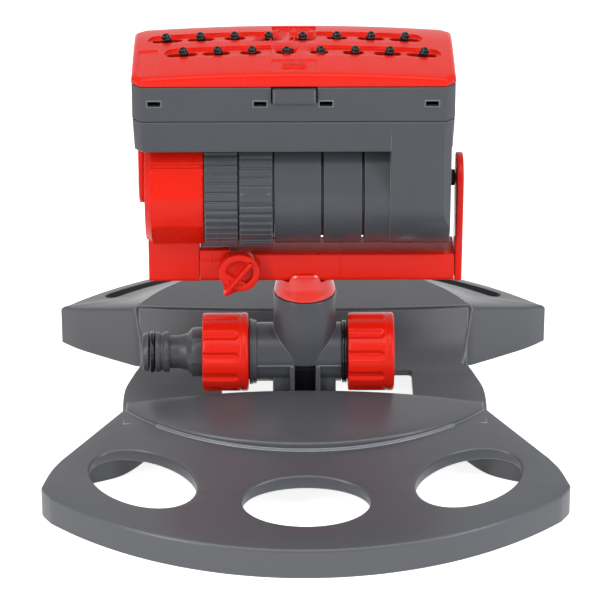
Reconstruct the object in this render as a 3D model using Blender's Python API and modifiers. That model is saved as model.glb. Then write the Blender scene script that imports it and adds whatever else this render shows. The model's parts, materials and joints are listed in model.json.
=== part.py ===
"""Oscillating garden sprinkler with three adjustments: reach, width and flow.

Metres, +Z up. The front faces -Y. The origin is on the ground, under the middle of the base.
The water pipe and the head's pivot axis both run along X, over the origin.
"""

import math

import bmesh
import bpy
from mathutils import Matrix, Vector

# Clearances
GAP = 0.0003
RUN_GAP = 0.0006

# Facets
FLAT_ANGLE = math.radians(0.8)

# Base
BASE_HALF_WIDTH = 0.1108
BASE_HALF_DEPTH = 0.1272
BASE_WALL = 0.0026
UNDERGROUND = 0.0020
FRONT_ARC_RADIUS = 0.1500
FRONT_ARC_END_X = BASE_HALF_WIDTH - 0.0043
REAR_ARC_RADIUS = 0.1520
REAR_ARC_END_X = BASE_HALF_WIDTH - 0.0048
PLATE_REAR_Y = -0.0180
RIM_HEIGHT = 0.0130
PLATE_SLOPE = math.radians(5.0)
EDGE_ROUND = 0.0012
WAIST_HALF_WIDTH = BASE_HALF_WIDTH - 0.0318
WAIST_SLACK = 0.0110
VALLEY_HEIGHT = 0.0130
VALLEY_FRONT_Y = -0.0300
RAMP_FOOT_Y = 0.0300
RAMP_TOP_Y = 0.0560
RAMP_SAG = 0.0033
RAMP_TUCK = 0.0040
PLATEAU_HEIGHT = 0.0310
PLATEAU_HALF_WIDTH = BASE_HALF_WIDTH - 0.0358
PLATEAU_BACK_Y = BASE_HALF_DEPTH - 0.0287
WING_TIP_Y = BASE_HALF_DEPTH - 0.0472
WING_TIP_HEIGHT = 0.0164
FRONT_HOLE_LENGTH = 0.0530
FRONT_HOLE_WIDTH = 0.0352
FRONT_HOLE_RING = 0.1150
FRONT_HOLE_TURN = math.radians(35.3)
HOLE_LIP_BOTTOM = 0.0118
HOLE_LIP_WALL = 0.0028
HAND_SLOT_WIDTH = 0.0085
HAND_SLOT_INSET = 0.0095
HAND_SLOT_FROM = math.radians(12.0)
HAND_SLOT_TO = math.radians(37.4)
HAND_SLOT_LIP_BOTTOM = 0.0090
WINDOW_LIP_BOTTOM = 0.0060
WINDOW_REAR_Y = 0.0268
WINDOW_FRONT_Y = -0.0060
WINDOW_LEFT_X = -0.0362
WINDOW_RIGHT_X = 0.0475
LENS_FRONT_Y = -0.0610
LENS_REAR_Y = -0.0130
LENS_ARC_RADIUS = 0.1000
LENS_CROWN_HEIGHT = 0.0252
LENS_SIDE_RADIUS = 0.5000
LENS_FRONT_RADIUS = 0.3300
LENS_ROUND = 0.0018
ABOVE_BASE = 0.0400

# Water pipe, stem and foot
PIPE_HEIGHT = 0.0370
PIPE_RADIUS = 0.0128
PIPE_LEFT_X = -0.0208
PIPE_RIGHT_X = 0.0182
PIPE_FLANGE_RADIUS = 0.0142
PIPE_FLANGE_LENGTH = 0.0031
THREAD_RADIUS = 0.0120
THREAD_LENGTH = 0.0110
PIPE_BORE_RADIUS = 0.0085
STEM_RADIUS = 0.0136
STEM_BORE_RADIUS = 0.0085
FOOT_HALF_WIDTH = 0.0134
FOOT_HALF_DEPTH = 0.0136
FOOT_CORE_HALF_DEPTH = 0.0088
FOOT_WEB_HALF = 0.0045
SOLE_THICK = 0.0020
FOOT_RIB_X = (-0.0051, 0.0054)
FOOT_RIB_THICK = 0.0017
FOOT_SCREW_RADIUS = 0.0017
FOOT_SCREW_HEAD_RADIUS = 0.0034
FOOT_SCREW_LENGTH = 0.0110
FOOT_SCREW_SPACING = 0.0130
FOOT_SCREW_HEAD_TOP = 0.0040
FOOT_SCREW_HEAD_THICK = 0.0021

# Hose fittings on the pipe
NUT_RADIUS = 0.0170
NUT_LENGTH = 0.0200
NUT_RIBS = 11
NUT_RIB_DEPTH = 0.0009
NUT_COLLAR_LENGTH = 0.0038
NIPPLE_TIP_X = -0.0700
NIPPLE_RADIUS = 0.0087
NIPPLE_NECK_RADIUS = 0.0071
NIPPLE_HEX_RADIUS = 0.0106
NIPPLE_BORE_RADIUS = 0.0048
O_RING_LENGTH = 0.0024
WASHER_THICK = 0.0020

# Red frame that carries the head
PIVOT_HEIGHT = 0.1200
HEAD_MID_X = -0.0045
HEAD_WIDTH = 0.1320
HEAD_LEFT_X = HEAD_MID_X - HEAD_WIDTH / 2
HEAD_RIGHT_X = HEAD_MID_X + HEAD_WIDTH / 2
BAR_HEIGHT = 0.0126
BAR_BOTTOM = PIVOT_HEIGHT - 0.0444
COLLAR_HEIGHT = 0.0100
STEM_TOP = BAR_BOTTOM - COLLAR_HEIGHT
BAR_HALF_DEPTH = 0.0090
BAR_ROUND = 0.0022
BAR_SEAM_X = 0.0152
COLLAR_RADIUS = 0.0132
GEARBOX_RADIUS = 0.0282
GEARBOX_LENGTH = 0.0224
GEARBOX_LEFT_X = HEAD_LEFT_X + 0.0052
GEARBOX_RIGHT_X = GEARBOX_LEFT_X + GEARBOX_LENGTH
GEARBOX_WALL = 0.0026
GEARBOX_LID_THICK = 0.0026
LID_SPIGOT = 0.0020
BAR_LEFT_X = GEARBOX_RIGHT_X - 0.0021
GROOVE_TURNS = (-28.0, 3.5, 35.0)
ARM_THICK = 0.0032
ARM_RADIUS = 0.0097
ARM_LEFT_X = HEAD_RIGHT_X + 0.0027
BAR_RIGHT_X = ARM_LEFT_X - RUN_GAP
BUSH_RADIUS = 0.0046
AXLE_RADIUS = 0.0030

# Flow knob
KNOB_X = BAR_LEFT_X + 0.0172
KNOB_RADIUS = 0.0087
KNOB_THICK = 0.0052
KNOB_RECESS_RADIUS = 0.0057
KNOB_RECESS_DEPTH = 0.0022
KNOB_TIP_REACH = 0.0129
KNOB_TURN = math.radians(23.0)
PLUG_RADIUS = 0.0040

# Turbine and gear inside the gearbox
PINION_RADIUS = 0.0040
PINION_TEETH = 7
GEAR_TEETH = 21
TURBINE_RADIUS = 0.0078
TURBINE_BLADES = 6

# Oscillating head
HEAD_FRONT_Y = -0.0285
HEAD_REAR_Y = 0.0255
HEAD_CHAMFER = 0.0040
HEAD_WALL = 0.0024
TRAY_BOTTOM = PIVOT_HEIGHT + 0.0243
TRAY_DEPTH = 0.0135
TRAY_TOP = TRAY_BOTTOM + TRAY_DEPTH
TRAY_INSET = 0.0010
BAND_DEPTH = 0.0159
BAND_TOP = TRAY_TOP + BAND_DEPTH
COVER_EDGE = 0.0046
COVER_EDGE_TOP = BAND_TOP + COVER_EDGE
COVER_CROWN = 0.0024
COVER_WALL = 0.0022
COVER_ROLL = 0.0030
ABOVE_HEAD = COVER_EDGE_TOP + 0.0120
BARREL_RADIUS = 0.0280
RING_LENGTH = 0.0139
RING_GAP = 0.0005
BARREL_LEFT_X = GEARBOX_RIGHT_X + 0.0011 + 2 * (RING_LENGTH + RING_GAP)
BARREL_SLITS_X = (BARREL_LEFT_X + 0.0200, BARREL_LEFT_X + 0.0370)
BARREL_SLIT_WIDTH = 0.0010
BARREL_SLIT_DEPTH = 0.0015
LEG_LEFT_X = HEAD_RIGHT_X - 0.0258
LEG_INSET = 0.0012
RING_RADIUS = 0.0295
RING_BORE_RADIUS = 0.0205
RING_SCALLOPS = 44
RING_SCALLOP_DEPTH = 0.0009
EAR_RADIUS = 0.0103
EAR_THICK = 0.0026

# Spray width slider and nozzles
TAB_WIDTH = 0.0183
TAB_PROUD = 0.0015
TAB_THICK = 0.0026
TAB_BOTTOM = TRAY_TOP + 0.0074
SNAP_WIDTH = 0.0051
SNAP_HEIGHT = 0.0020
SNAP_Z = TRAY_TOP + 0.0076
SNAP_OUTER = HEAD_WIDTH / 2 - 0.0090
SNAP_INNER = TAB_WIDTH / 2 + 0.0044
SLIDER_LEVEL = TRAY_TOP + 0.0107
SLIDER_THICK = 0.0018
SLIDER_TRAVEL = 0.0040
SLIDER_GAP = 0.0008
NOZZLES_PER_ROW = 8
NOZZLE_END_SPACE = 0.0177
NOZZLE_PITCH = (HEAD_WIDTH - 2 * NOZZLE_END_SPACE) / (NOZZLES_PER_ROW - 1)
NOZZLE_STAGGER = 0.0036
NOZZLE_FAN = 0.055
NOZZLE_ROWS_Y = (-0.0085, 0.0070)
NOZZLE_BALL_RADIUS = 0.0030
NOZZLE_RADIUS = 0.0017
NOZZLE_SLOT_WIDTH = 0.0044
NOZZLE_TIP_ABOVE = 0.0028
NOZZLE_TILT_LEAST = math.radians(2.0)
NOZZLE_TILT_MOST = math.radians(8.0)
COVER_RECESS_DEPTH = 0.0007

RED = (0.78, 0.035, 0.022)
GREY = (0.115, 0.118, 0.125)
BLACK = (0.012, 0.012, 0.013)
STEEL = (0.55, 0.55, 0.56)

PARTS = "garden_sprinkler"


def clear_scene():
    for old in list(bpy.data.objects):
        bpy.data.objects.remove(old, do_unlink=True)


def collection(name):
    made = bpy.data.collections.new(name)
    bpy.context.scene.collection.children.link(made)
    return made


def place(obj):
    bpy.data.collections[PARTS].objects.link(obj)
    return obj


def paint(obj, colour, roughness=0.35, metallic=0.0):
    """Merges the piece's level facets and gives it its own Principled material."""
    bm = bmesh.new()
    bm.from_mesh(obj.data)
    bmesh.ops.dissolve_limit(bm, angle_limit=FLAT_ANGLE, verts=bm.verts, edges=bm.edges)
    bm.to_mesh(obj.data)
    bm.free()
    made = bpy.data.materials.new(obj.name + "_material")
    made.use_nodes = True
    shader = made.node_tree.nodes["Principled BSDF"]
    shader.inputs["Base Color"].default_value = (*colour, 1.0)
    shader.inputs["Roughness"].default_value = roughness
    shader.inputs["Metallic"].default_value = metallic
    obj.data.materials.clear()
    obj.data.materials.append(made)
    return obj


def from_bmesh(name, bm):
    """A new object from a bmesh, with its normals facing out."""
    bmesh.ops.recalc_face_normals(bm, faces=bm.faces)
    mesh = bpy.data.meshes.new(name)
    bm.to_mesh(mesh)
    bm.free()
    return place(bpy.data.objects.new(name, mesh))


def baked(obj):
    """Applies an object's modifiers, curve shape and placing to one plain mesh object."""
    bpy.context.view_layer.update()
    name = obj.name
    graph = bpy.context.evaluated_depsgraph_get()
    mesh = bpy.data.meshes.new_from_object(obj.evaluated_get(graph))
    mesh.transform(obj.matrix_world)
    bpy.data.objects.remove(obj, do_unlink=True)
    bm = bmesh.new()
    bm.from_mesh(mesh)
    bmesh.ops.remove_doubles(bm, verts=bm.verts, dist=1e-6)
    bm.to_mesh(mesh)
    bm.free()
    made = place(bpy.data.objects.new(name, mesh))
    made.name = name
    return made


def box(name, low, high):
    bm = bmesh.new()
    bmesh.ops.create_cube(bm, size=1.0)
    size = [b - a for a, b in zip(low, high)]
    middle = [(a + b) / 2 for a, b in zip(low, high)]
    bmesh.ops.scale(bm, vec=size, verts=bm.verts)
    bmesh.ops.translate(bm, vec=middle, verts=bm.verts)
    return from_bmesh(name, bm)


TO_X = Matrix(((0, 0, 1), (1, 0, 0), (0, 1, 0))).to_4x4()
TO_Y = Matrix(((1, 0, 0), (0, 0, 1), (0, 1, 0))).to_4x4()
TO_Z = Matrix.Identity(4)


def prism(name, outline, low, high, turn=TO_Z):
    """A flat outline, extruded from low to high.

    With TO_X the outline is (y, z) and runs along X. With TO_Y it is (x, z) and runs along Y.
    """
    curve = bpy.data.curves.new(name, "CURVE")
    curve.dimensions = "2D"
    curve.fill_mode = "BOTH"
    curve.extrude = abs(high - low) / 2
    spline = curve.splines.new("POLY")
    spline.points.add(len(outline) - 1)
    for point, (x, y) in zip(spline.points, outline):
        point.co = (x, y, 0.0, 1.0)
    spline.use_cyclic_u = True
    obj = place(bpy.data.objects.new(name, curve))
    obj.matrix_world = turn @ Matrix.Translation((0, 0, (low + high) / 2))
    made = baked(obj)
    return facing_out(made)


def facing_out(obj):
    bm = bmesh.new()
    bm.from_mesh(obj.data)
    bmesh.ops.recalc_face_normals(bm, faces=bm.faces)
    bm.to_mesh(obj.data)
    bm.free()
    return obj


def turned(name, profile, steps=28, turn=TO_Z, centre=(0.0, 0.0, 0.0)):
    """A profile of (radius, height) points, top to bottom, turned about the height axis."""
    mesh = bpy.data.meshes.new(name)
    mesh.from_pydata(
        [(radius, 0.0, height) for radius, height in profile],
        [(i, i + 1) for i in range(len(profile) - 1)],
        [],
    )
    obj = place(bpy.data.objects.new(name, mesh))
    screw = obj.modifiers.new("turn", "SCREW")
    screw.axis = "Z"
    screw.steps = steps
    screw.render_steps = steps
    screw.use_merge_vertices = True
    screw.merge_threshold = 1e-5
    obj.matrix_world = Matrix.Translation(centre) @ turn
    made = baked(obj)
    made.data.shade_smooth()
    made.data.set_sharp_from_angle(angle=math.radians(35))
    return facing_out(made)


def rod(name, radius, low, high, turn=TO_Z, centre=(0.0, 0.0, 0.0), steps=28):
    profile = [(0.0, high), (radius, high), (radius, low), (0.0, low)]
    return turned(name, profile, steps, turn, centre)


def combine(target, tool, operation):
    """Joins, cuts or intersects two meshes and removes the tool."""
    step = target.modifiers.new("combine", "BOOLEAN")
    step.operation = operation
    step.solver = "EXACT"
    step.object = tool
    name = target.name
    made = baked(target)
    bpy.data.objects.remove(tool, do_unlink=True)
    made.name = name
    return made


def join(target, *tools):
    for tool in tools:
        target = combine(target, tool, "UNION")
    return target


def cut(target, *tools):
    for tool in tools:
        target = combine(target, tool, "DIFFERENCE")
    return target


def common(target, tool):
    return combine(target, tool, "INTERSECT")


def set_origin(obj, point):
    """Moves the object's origin to a point, with its shape left in place."""
    obj.data.transform(Matrix.Translation([-value for value in point]))
    obj.location = point
    return obj


def arc(centre, radius, start, end, count):
    """Points on an arc, with both angles in radians."""
    turns = [start + (end - start) * i / count for i in range(count + 1)]
    return [(centre[0] + radius * math.cos(t), centre[1] + radius * math.sin(t)) for t in turns]


def ellipse(centre, length, width, turn, count=22):
    """Points on an ellipse, its length turned from the X direction."""
    points = []
    for i in range(count):
        t = math.tau * i / count
        u = math.cos(t) * length / 2
        v = math.sin(t) * width / 2
        x = centre[0] + u * math.cos(turn) - v * math.sin(turn)
        y = centre[1] + u * math.sin(turn) + v * math.cos(turn)
        points.append((x, y))
    return points


def capsule(start, end, width, count=3):
    """A slot outline with round ends between two points."""
    direction = math.atan2(end[1] - start[1], end[0] - start[0])
    quarter = math.pi / 2
    return arc(end, width / 2, direction - quarter, direction + quarter, count) + arc(
        start, width / 2, direction + quarter, direction + 3 * quarter, count
    )


def smooth(points, steps=3):
    """A Catmull-Rom curve through a few points."""
    padded = [points[0]] + list(points) + [points[-1]]
    made = []
    for a, b, c, d in zip(padded, padded[1:], padded[2:], padded[3:]):
        for i in range(steps):
            t = i / steps
            made.append(
                tuple(
                    0.5
                    * (
                        2 * q
                        + (r - p) * t
                        + (2 * p - 5 * q + 4 * r - s) * t * t
                        + (3 * q - p - 3 * r + s) * t**3
                    )
                    for p, q, r, s in zip(a, b, c, d)
                )
            )
    made.append(tuple(points[-1]))
    return made


def mirrored(half):
    """A full outline from its right half, which runs from one end of the axis to the other."""
    left = [(-x, y) for x, y in reversed(half) if x > 1e-6]
    return list(half) + left


def inset(outline, distance):
    """Moves each point of an outline inward along the mean of its two edge normals."""
    count = len(outline)
    area = sum(
        outline[i][0] * outline[(i + 1) % count][1] - outline[(i + 1) % count][0] * outline[i][1]
        for i in range(count)
    )
    side = 1.0 if area > 0 else -1.0
    made = []
    for i, point in enumerate(outline):
        before = Vector(point) - Vector(outline[i - 1])
        after = Vector(outline[(i + 1) % count]) - Vector(point)
        normal_a = Vector((-before.y, before.x)).normalized() * side
        normal_b = Vector((-after.y, after.x)).normalized() * side
        mean = (normal_a + normal_b).normalized()
        reach = distance / max(0.5, mean.dot(normal_a))
        made.append(tuple(Vector(point) + mean * reach))
    return made


def loft(name, loops):
    """Skins a stack of loops of 3-D points with equal counts, and closes both ends."""
    bm = bmesh.new()
    rings = [[bm.verts.new(point) for point in loop] for loop in loops]
    count = len(rings[0])
    for lower, upper in zip(rings, rings[1:]):
        for i in range(count):
            j = (i + 1) % count
            bm.faces.new((lower[i], lower[j], upper[j], upper[i]))
    bm.faces.new(list(reversed(rings[0])))
    bm.faces.new(rings[-1])
    bmesh.ops.triangulate(bm, faces=[f for f in bm.faces if len(f.verts) > 4])
    return from_bmesh(name, bm)


def crowned(name, outline, low, height_at, centre, roll=0.0, rings=2):
    """A slab with a flat underside and a top that follows height_at, with a rolled edge."""

    def lifted(points, drop=0.0):
        return [(x, y, height_at(x, y) - drop) for x, y in points]

    def drawn(points, share):
        return [
            (centre[0] + (x - centre[0]) * share, centre[1] + (y - centre[1]) * share)
            for x, y in points
        ]

    loops = [[(x, y, low) for x, y in outline]]
    if roll:
        for turn in (0.0, 45.0):
            step = roll * (1 - math.cos(math.radians(turn)))
            drop = roll * (1 - math.sin(math.radians(turn)))
            loops.append(lifted(inset(outline, step) if step else outline, drop))
        outline = inset(outline, roll)
    loops.append(lifted(outline))
    for i in range(1, rings):
        loops.append(lifted(drawn(outline, 1 - i / rings)))
    bm = bmesh.new()
    layers = [[bm.verts.new(point) for point in loop] for loop in loops]
    count = len(layers[0])
    for lower, upper in zip(layers, layers[1:]):
        for i in range(count):
            j = (i + 1) % count
            bm.faces.new((lower[i], lower[j], upper[j], upper[i]))
    top = bm.verts.new((centre[0], centre[1], height_at(*centre)))
    for i in range(count):
        bm.faces.new((layers[-1][i], layers[-1][(i + 1) % count], top))
    bm.faces.new(list(reversed(layers[0])))
    bmesh.ops.triangulate(bm, faces=[f for f in bm.faces if len(f.verts) > 4])
    return from_bmesh(name, bm)


FRONT_ARC_CENTRE = (0.0, -BASE_HALF_DEPTH + FRONT_ARC_RADIUS)
REAR_ARC_CENTRE = (0.0, BASE_HALF_DEPTH - REAR_ARC_RADIUS)


def plate_height(x, y):
    """The front plate rises as a shallow cone from its rim."""
    reach = math.hypot(x, y - FRONT_ARC_CENTRE[1])
    return RIM_HEIGHT + (FRONT_ARC_RADIUS - reach) * math.tan(PLATE_SLOPE)


def plate_outline(steps=12, corner_steps=2):
    """Front plate: the front arc, a rounded corner and the slanted edge to the waist."""
    end = math.asin(FRONT_ARC_END_X / FRONT_ARC_RADIUS)
    front = arc(FRONT_ARC_CENTRE, FRONT_ARC_RADIUS, -math.pi / 2, -math.pi / 2 + end, steps)
    corner_y = front[-1][1]
    corner = smooth(
        [
            front[-1],
            (BASE_HALF_WIDTH - 0.0005, corner_y + 0.0069),
            (BASE_HALF_WIDTH - 0.0010, corner_y + 0.0113),
            (BASE_HALF_WIDTH - 0.0037, corner_y + 0.0206),
            (BASE_HALF_WIDTH - 0.0075, corner_y + 0.0282),
        ],
        corner_steps,
    )
    waist = WAIST_HALF_WIDTH
    rear = [(waist + 0.0010, PLATE_REAR_Y), (waist * 0.5, PLATE_REAR_Y), (0.0, PLATE_REAR_Y)]
    return mirrored(front + corner[1:] + rear)


def plate_middle():
    return (0.0, (PLATE_REAR_Y - BASE_HALF_DEPTH) / 2)


def waist_outline(slack=0.0):
    """Plan of the valley and ramp between the front plate and the raised rear."""
    waist = WAIST_HALF_WIDTH
    side = smooth(
        [
            (waist - 0.0012, VALLEY_FRONT_Y),
            (waist - 0.0004, -0.0100),
            (waist - 0.0013, 0.0095),
            (waist - 0.0052, 0.0235),
            (waist - 0.0075, 0.0340),
            (waist - 0.0062, 0.0480),
            (PLATEAU_HALF_WIDTH - 0.0010, RAMP_TOP_Y + RAMP_TUCK),
        ],
        2,
    )
    start = VALLEY_FRONT_Y + slack
    half = [(0.0, start)] + [(x - slack, max(y, start)) for x, y in side]
    return mirrored(half + [(0.0, RAMP_TOP_Y + RAMP_TUCK)])


def valley_profile(drop, low):
    """Side view of the deck: the front slope, the valley floor and the concave ramp."""
    start = VALLEY_FRONT_Y - 0.0050
    end = RAMP_TOP_Y + RAMP_TUCK + 0.0020
    run = RAMP_TOP_Y - RAMP_FOOT_Y
    top = smooth(
        [
            (start, VALLEY_HEIGHT + 0.0052),
            (-0.0200, VALLEY_HEIGHT + 0.0049),
            (-0.0080, VALLEY_HEIGHT + 0.0032),
            (0.0050, VALLEY_HEIGHT + 0.0010),
            (0.0180, VALLEY_HEIGHT),
            (RAMP_FOOT_Y, VALLEY_HEIGHT + 0.0006),
            (RAMP_FOOT_Y + run * 0.42, VALLEY_HEIGHT + 0.0047),
            (RAMP_FOOT_Y + run * 0.82, PLATEAU_HEIGHT - 0.0054),
            (RAMP_TOP_Y + 0.0010, PLATEAU_HEIGHT - 0.0010),
        ],
        2,
    )
    top.append((end, PLATEAU_HEIGHT - 0.0006))
    lowered = [(y, z - drop) for y, z in top]
    return [(start, low)] + lowered + [(end, low)]


def ramp_bow(x):
    """How far the ramp's top runs ahead of its corners, toward the middle."""
    share = min(1.0, abs(x) / PLATEAU_HALF_WIDTH)
    return RAMP_SAG * (1 - share * share)


def valley_body(name, drop, low):
    """The deck, with a ramp whose top edge bows forward in the middle."""
    half = WAIST_HALF_WIDTH + WAIST_SLACK
    steps = (0.18, 0.48, 0.74, 1.0)
    loops = []
    for share in [-step for step in reversed(steps)] + list(steps):
        x = half * share
        loop = []
        for y, z in valley_profile(drop, low):
            grown = (y - RAMP_FOOT_Y) / (RAMP_TOP_Y - RAMP_FOOT_Y)
            loop.append((x, y - ramp_bow(x) * min(1.0, max(0.0, grown)), z))
        loops.append(loop)
    return loft(name, loops)


def rear_half():
    """Right half of the raised rear: its front line, the wing, its tip and the rear arc."""
    corner = (PLATEAU_HALF_WIDTH, RAMP_TOP_Y)
    front = [(corner[0] * i / 4, RAMP_TOP_Y - ramp_bow(corner[0] * i / 4)) for i in range(5)]
    tip_x = BASE_HALF_WIDTH - 0.0004
    run = WING_TIP_Y - RAMP_TOP_Y
    wing = smooth(
        [
            (corner[0] + 0.0012, RAMP_TOP_Y + 0.0003),
            (corner[0] + 0.0145, RAMP_TOP_Y + run * 0.35),
            (tip_x - 0.0080, RAMP_TOP_Y + run * 0.70),
            (tip_x, WING_TIP_Y),
        ],
        2,
    )
    end = math.acos(REAR_ARC_END_X / REAR_ARC_RADIUS)
    rear = arc(REAR_ARC_CENTRE, REAR_ARC_RADIUS, end, math.pi / 2, 12)
    return front, wing, rear


def rear_block(name, wall, drop, low):
    """The raised rear: a level top whose sides fall away as sloping wings to a low rim."""
    front, wing, back = rear_half()
    half = front + wing + back
    outline = mirrored(half)
    count = len(half)

    def rim(i):
        """Rim height at a point of the half outline."""
        if i < len(front):
            return PLATEAU_HEIGHT
        if i < len(front) + len(wing):
            x = half[i][0]
            share = (x - PLATEAU_HALF_WIDTH) / (BASE_HALF_WIDTH - PLATEAU_HALF_WIDTH)
            return PLATEAU_HEIGHT + (WING_TIP_HEIGHT - PLATEAU_HEIGHT) * min(1.0, share)
        return WING_TIP_HEIGHT

    heights = [rim(i) for i in range(count)]
    heights += [heights[i] for i in reversed(range(count)) if half[i][0] > 1e-6]
    top_half = list(front)
    top_half += [(corner_x, corner_y) for corner_x, corner_y in plateau_side(len(wing))]
    top_half += plateau_back(len(back))
    top = mirrored(top_half)
    outer = inset(outline, wall) if wall else outline
    flat = [i < len(front) for i in range(count)]
    flat += [flat[i] for i in reversed(range(count)) if half[i][0] > 1e-6]
    rounded = inset(outer, EDGE_ROUND)
    inner = [a if square else b for a, b, square in zip(outer, rounded, flat)]
    level = drawn_in(top, wall + 2 * EDGE_ROUND)
    loops = [
        [(x, y, low) for x, y in outer],
        [(x, y, h - EDGE_ROUND - drop) for (x, y), h in zip(outer, heights)],
        [(x, y, h - drop) for (x, y), h in zip(inner, heights)],
        [(x, y, PLATEAU_HEIGHT - drop) for x, y in level],
    ]
    return loft(name, loops)


def drawn_in(outline, distance):
    """The level top's outline, drawn toward its middle by a distance on each side."""
    front = RAMP_TOP_Y - RAMP_SAG
    middle = (front + PLATEAU_BACK_Y) / 2
    wide = 1 - distance / PLATEAU_HALF_WIDTH
    deep = 1 - distance / (middle - front)
    return [(x * wide, middle + (y - middle) * deep) for x, y in outline]


def plateau_corner():
    """Where the level top's side edge meets its back edge."""
    return (PLATEAU_HALF_WIDTH - 0.0170, PLATEAU_BACK_Y - 0.0185)


def plateau_side(count):
    """Side edge of the level top, from its front corner backwards."""
    start = (PLATEAU_HALF_WIDTH + 0.0002, RAMP_TOP_Y + 0.0010)
    middle = (PLATEAU_HALF_WIDTH - 0.0080, RAMP_TOP_Y + 0.0140)
    points = smooth([start, middle, plateau_corner()], 12)
    return [points[round(i * (len(points) - 1) / (count - 1))] for i in range(count)]


def plateau_back(count):
    """Back edge of the level top, an arc along the rear arc."""
    corner = plateau_corner()
    second = (corner[0] * 0.78, PLATEAU_BACK_Y - 0.0095)
    third = (corner[0] * 0.41, PLATEAU_BACK_Y - 0.0025)
    points = smooth([corner, second, third, (0.0, PLATEAU_BACK_Y)], 12)
    return [points[round((i + 1) * (len(points) - 1) / count)] for i in range(count)]


def lens_outline():
    """The raised panel in front of the valley: a long lens with a straight back."""
    centre = (0.0, LENS_FRONT_Y + LENS_ARC_RADIUS)
    reach = math.sqrt(LENS_ARC_RADIUS**2 - (LENS_REAR_Y - centre[1] - 0.0020) ** 2)
    limit = math.asin((WAIST_HALF_WIDTH - 0.0020) / LENS_ARC_RADIUS)
    end = min(limit, math.atan2(reach, centre[1] - LENS_REAR_Y))
    half = arc(centre, LENS_ARC_RADIUS, -math.pi / 2, -math.pi / 2 + end, 10)
    half += [((WAIST_HALF_WIDTH - 0.0020) * (1 - i / 6), LENS_REAR_Y) for i in range(7)]
    return mirrored(half)


def lens_height(x, y):
    side = x * x / (2 * LENS_SIDE_RADIUS)
    front = (y - LENS_REAR_Y) ** 2 / (2 * LENS_FRONT_RADIUS)
    return LENS_CROWN_HEIGHT - side - front


def front_holes(grow, low, high):
    """The three oval openings of the front plate."""
    made = []
    for side in (-1, 0, 1):
        turn = side * FRONT_HOLE_TURN
        x = FRONT_HOLE_RING * math.sin(turn)
        y = FRONT_ARC_CENTRE[1] - FRONT_HOLE_RING * math.cos(turn)
        outline = ellipse((x, y), FRONT_HOLE_LENGTH + grow, FRONT_HOLE_WIDTH + grow, turn)
        made.append(prism(f"front_hole_{side}", outline, low, high))
    return made


def hand_slots(grow, low, high):
    """The curved hand slots that follow the rear arc."""
    radius = REAR_ARC_RADIUS - HAND_SLOT_INSET
    half = HAND_SLOT_WIDTH / 2 + grow / 2
    made = []
    for side in (-1, 1):
        turns = (math.pi / 2 - side * HAND_SLOT_FROM, math.pi / 2 - side * HAND_SLOT_TO)
        outer = arc(REAR_ARC_CENTRE, radius + half, turns[0], turns[1], 7)
        inner = arc(REAR_ARC_CENTRE, radius - half, turns[1], turns[0], 7)
        end = arc(REAR_ARC_CENTRE, radius, turns[1], turns[1], 1)[0]
        start = arc(REAR_ARC_CENTRE, radius, turns[0], turns[0], 1)[0]
        bend = -side * math.pi
        tip_a = arc(end, half, turns[1], turns[1] + bend, 5)[1:-1]
        tip_b = arc(start, half, turns[0] + bend, turns[0] + 2 * bend, 5)[1:-1]
        outline = outer + tip_a + inner + tip_b
        made.append(prism(f"hand_slot_{side}", outline, low, high))
    return made


def windows(grow, low, high):
    """The two finger windows in the valley, under the nuts."""
    made = []
    inner = FOOT_HALF_WIDTH + 0.0004
    for left, right in ((WINDOW_LEFT_X, -inner), (inner, WINDOW_RIGHT_X)):
        made.append(
            box(
                "window",
                (left - grow, WINDOW_FRONT_Y - grow, low),
                (right + grow, WINDOW_REAR_Y + grow, high),
            )
        )
    return made


def base_cavity(low):
    """The hollow under the base, with the lips of the openings left standing."""
    wall = BASE_WALL

    def under_plate(x, y):
        return plate_height(x, y) - wall

    outline = inset(plate_outline(7, 1), wall)
    plate = crowned("plate_cavity", outline, low, under_plate, plate_middle())
    plate = cut(plate, *front_holes(2 * HOLE_LIP_WALL, HOLE_LIP_BOTTOM, ABOVE_BASE))
    valley = valley_body("valley_cavity", wall, low)
    valley = common(valley, prism("valley_plan", waist_outline(wall), low - wall, ABOVE_BASE))
    valley = cut(valley, *windows(HOLE_LIP_WALL, WINDOW_LIP_BOTTOM, ABOVE_BASE))
    valley = cut(valley, *foot_bosses())
    rear = rear_block("rear_cavity", wall, wall, low)
    rear = cut(rear, *hand_slots(2 * HOLE_LIP_WALL, HAND_SLOT_LIP_BOTTOM, ABOVE_BASE))
    return plate, valley, rear


def foot_screw_places():
    return [(0.0, y) for y in (-FOOT_SCREW_SPACING / 2, FOOT_SCREW_SPACING / 2)]


def foot_bosses():
    """Columns left under the floor for the screws that hold the pipe's foot."""
    radius = FOOT_SCREW_HEAD_RADIUS + BASE_WALL
    return [
        rod("boss", radius, FOOT_SCREW_HEAD_TOP, ABOVE_BASE, centre=(x, y, 0.0), steps=16)
        for x, y in foot_screw_places()
    ]


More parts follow.
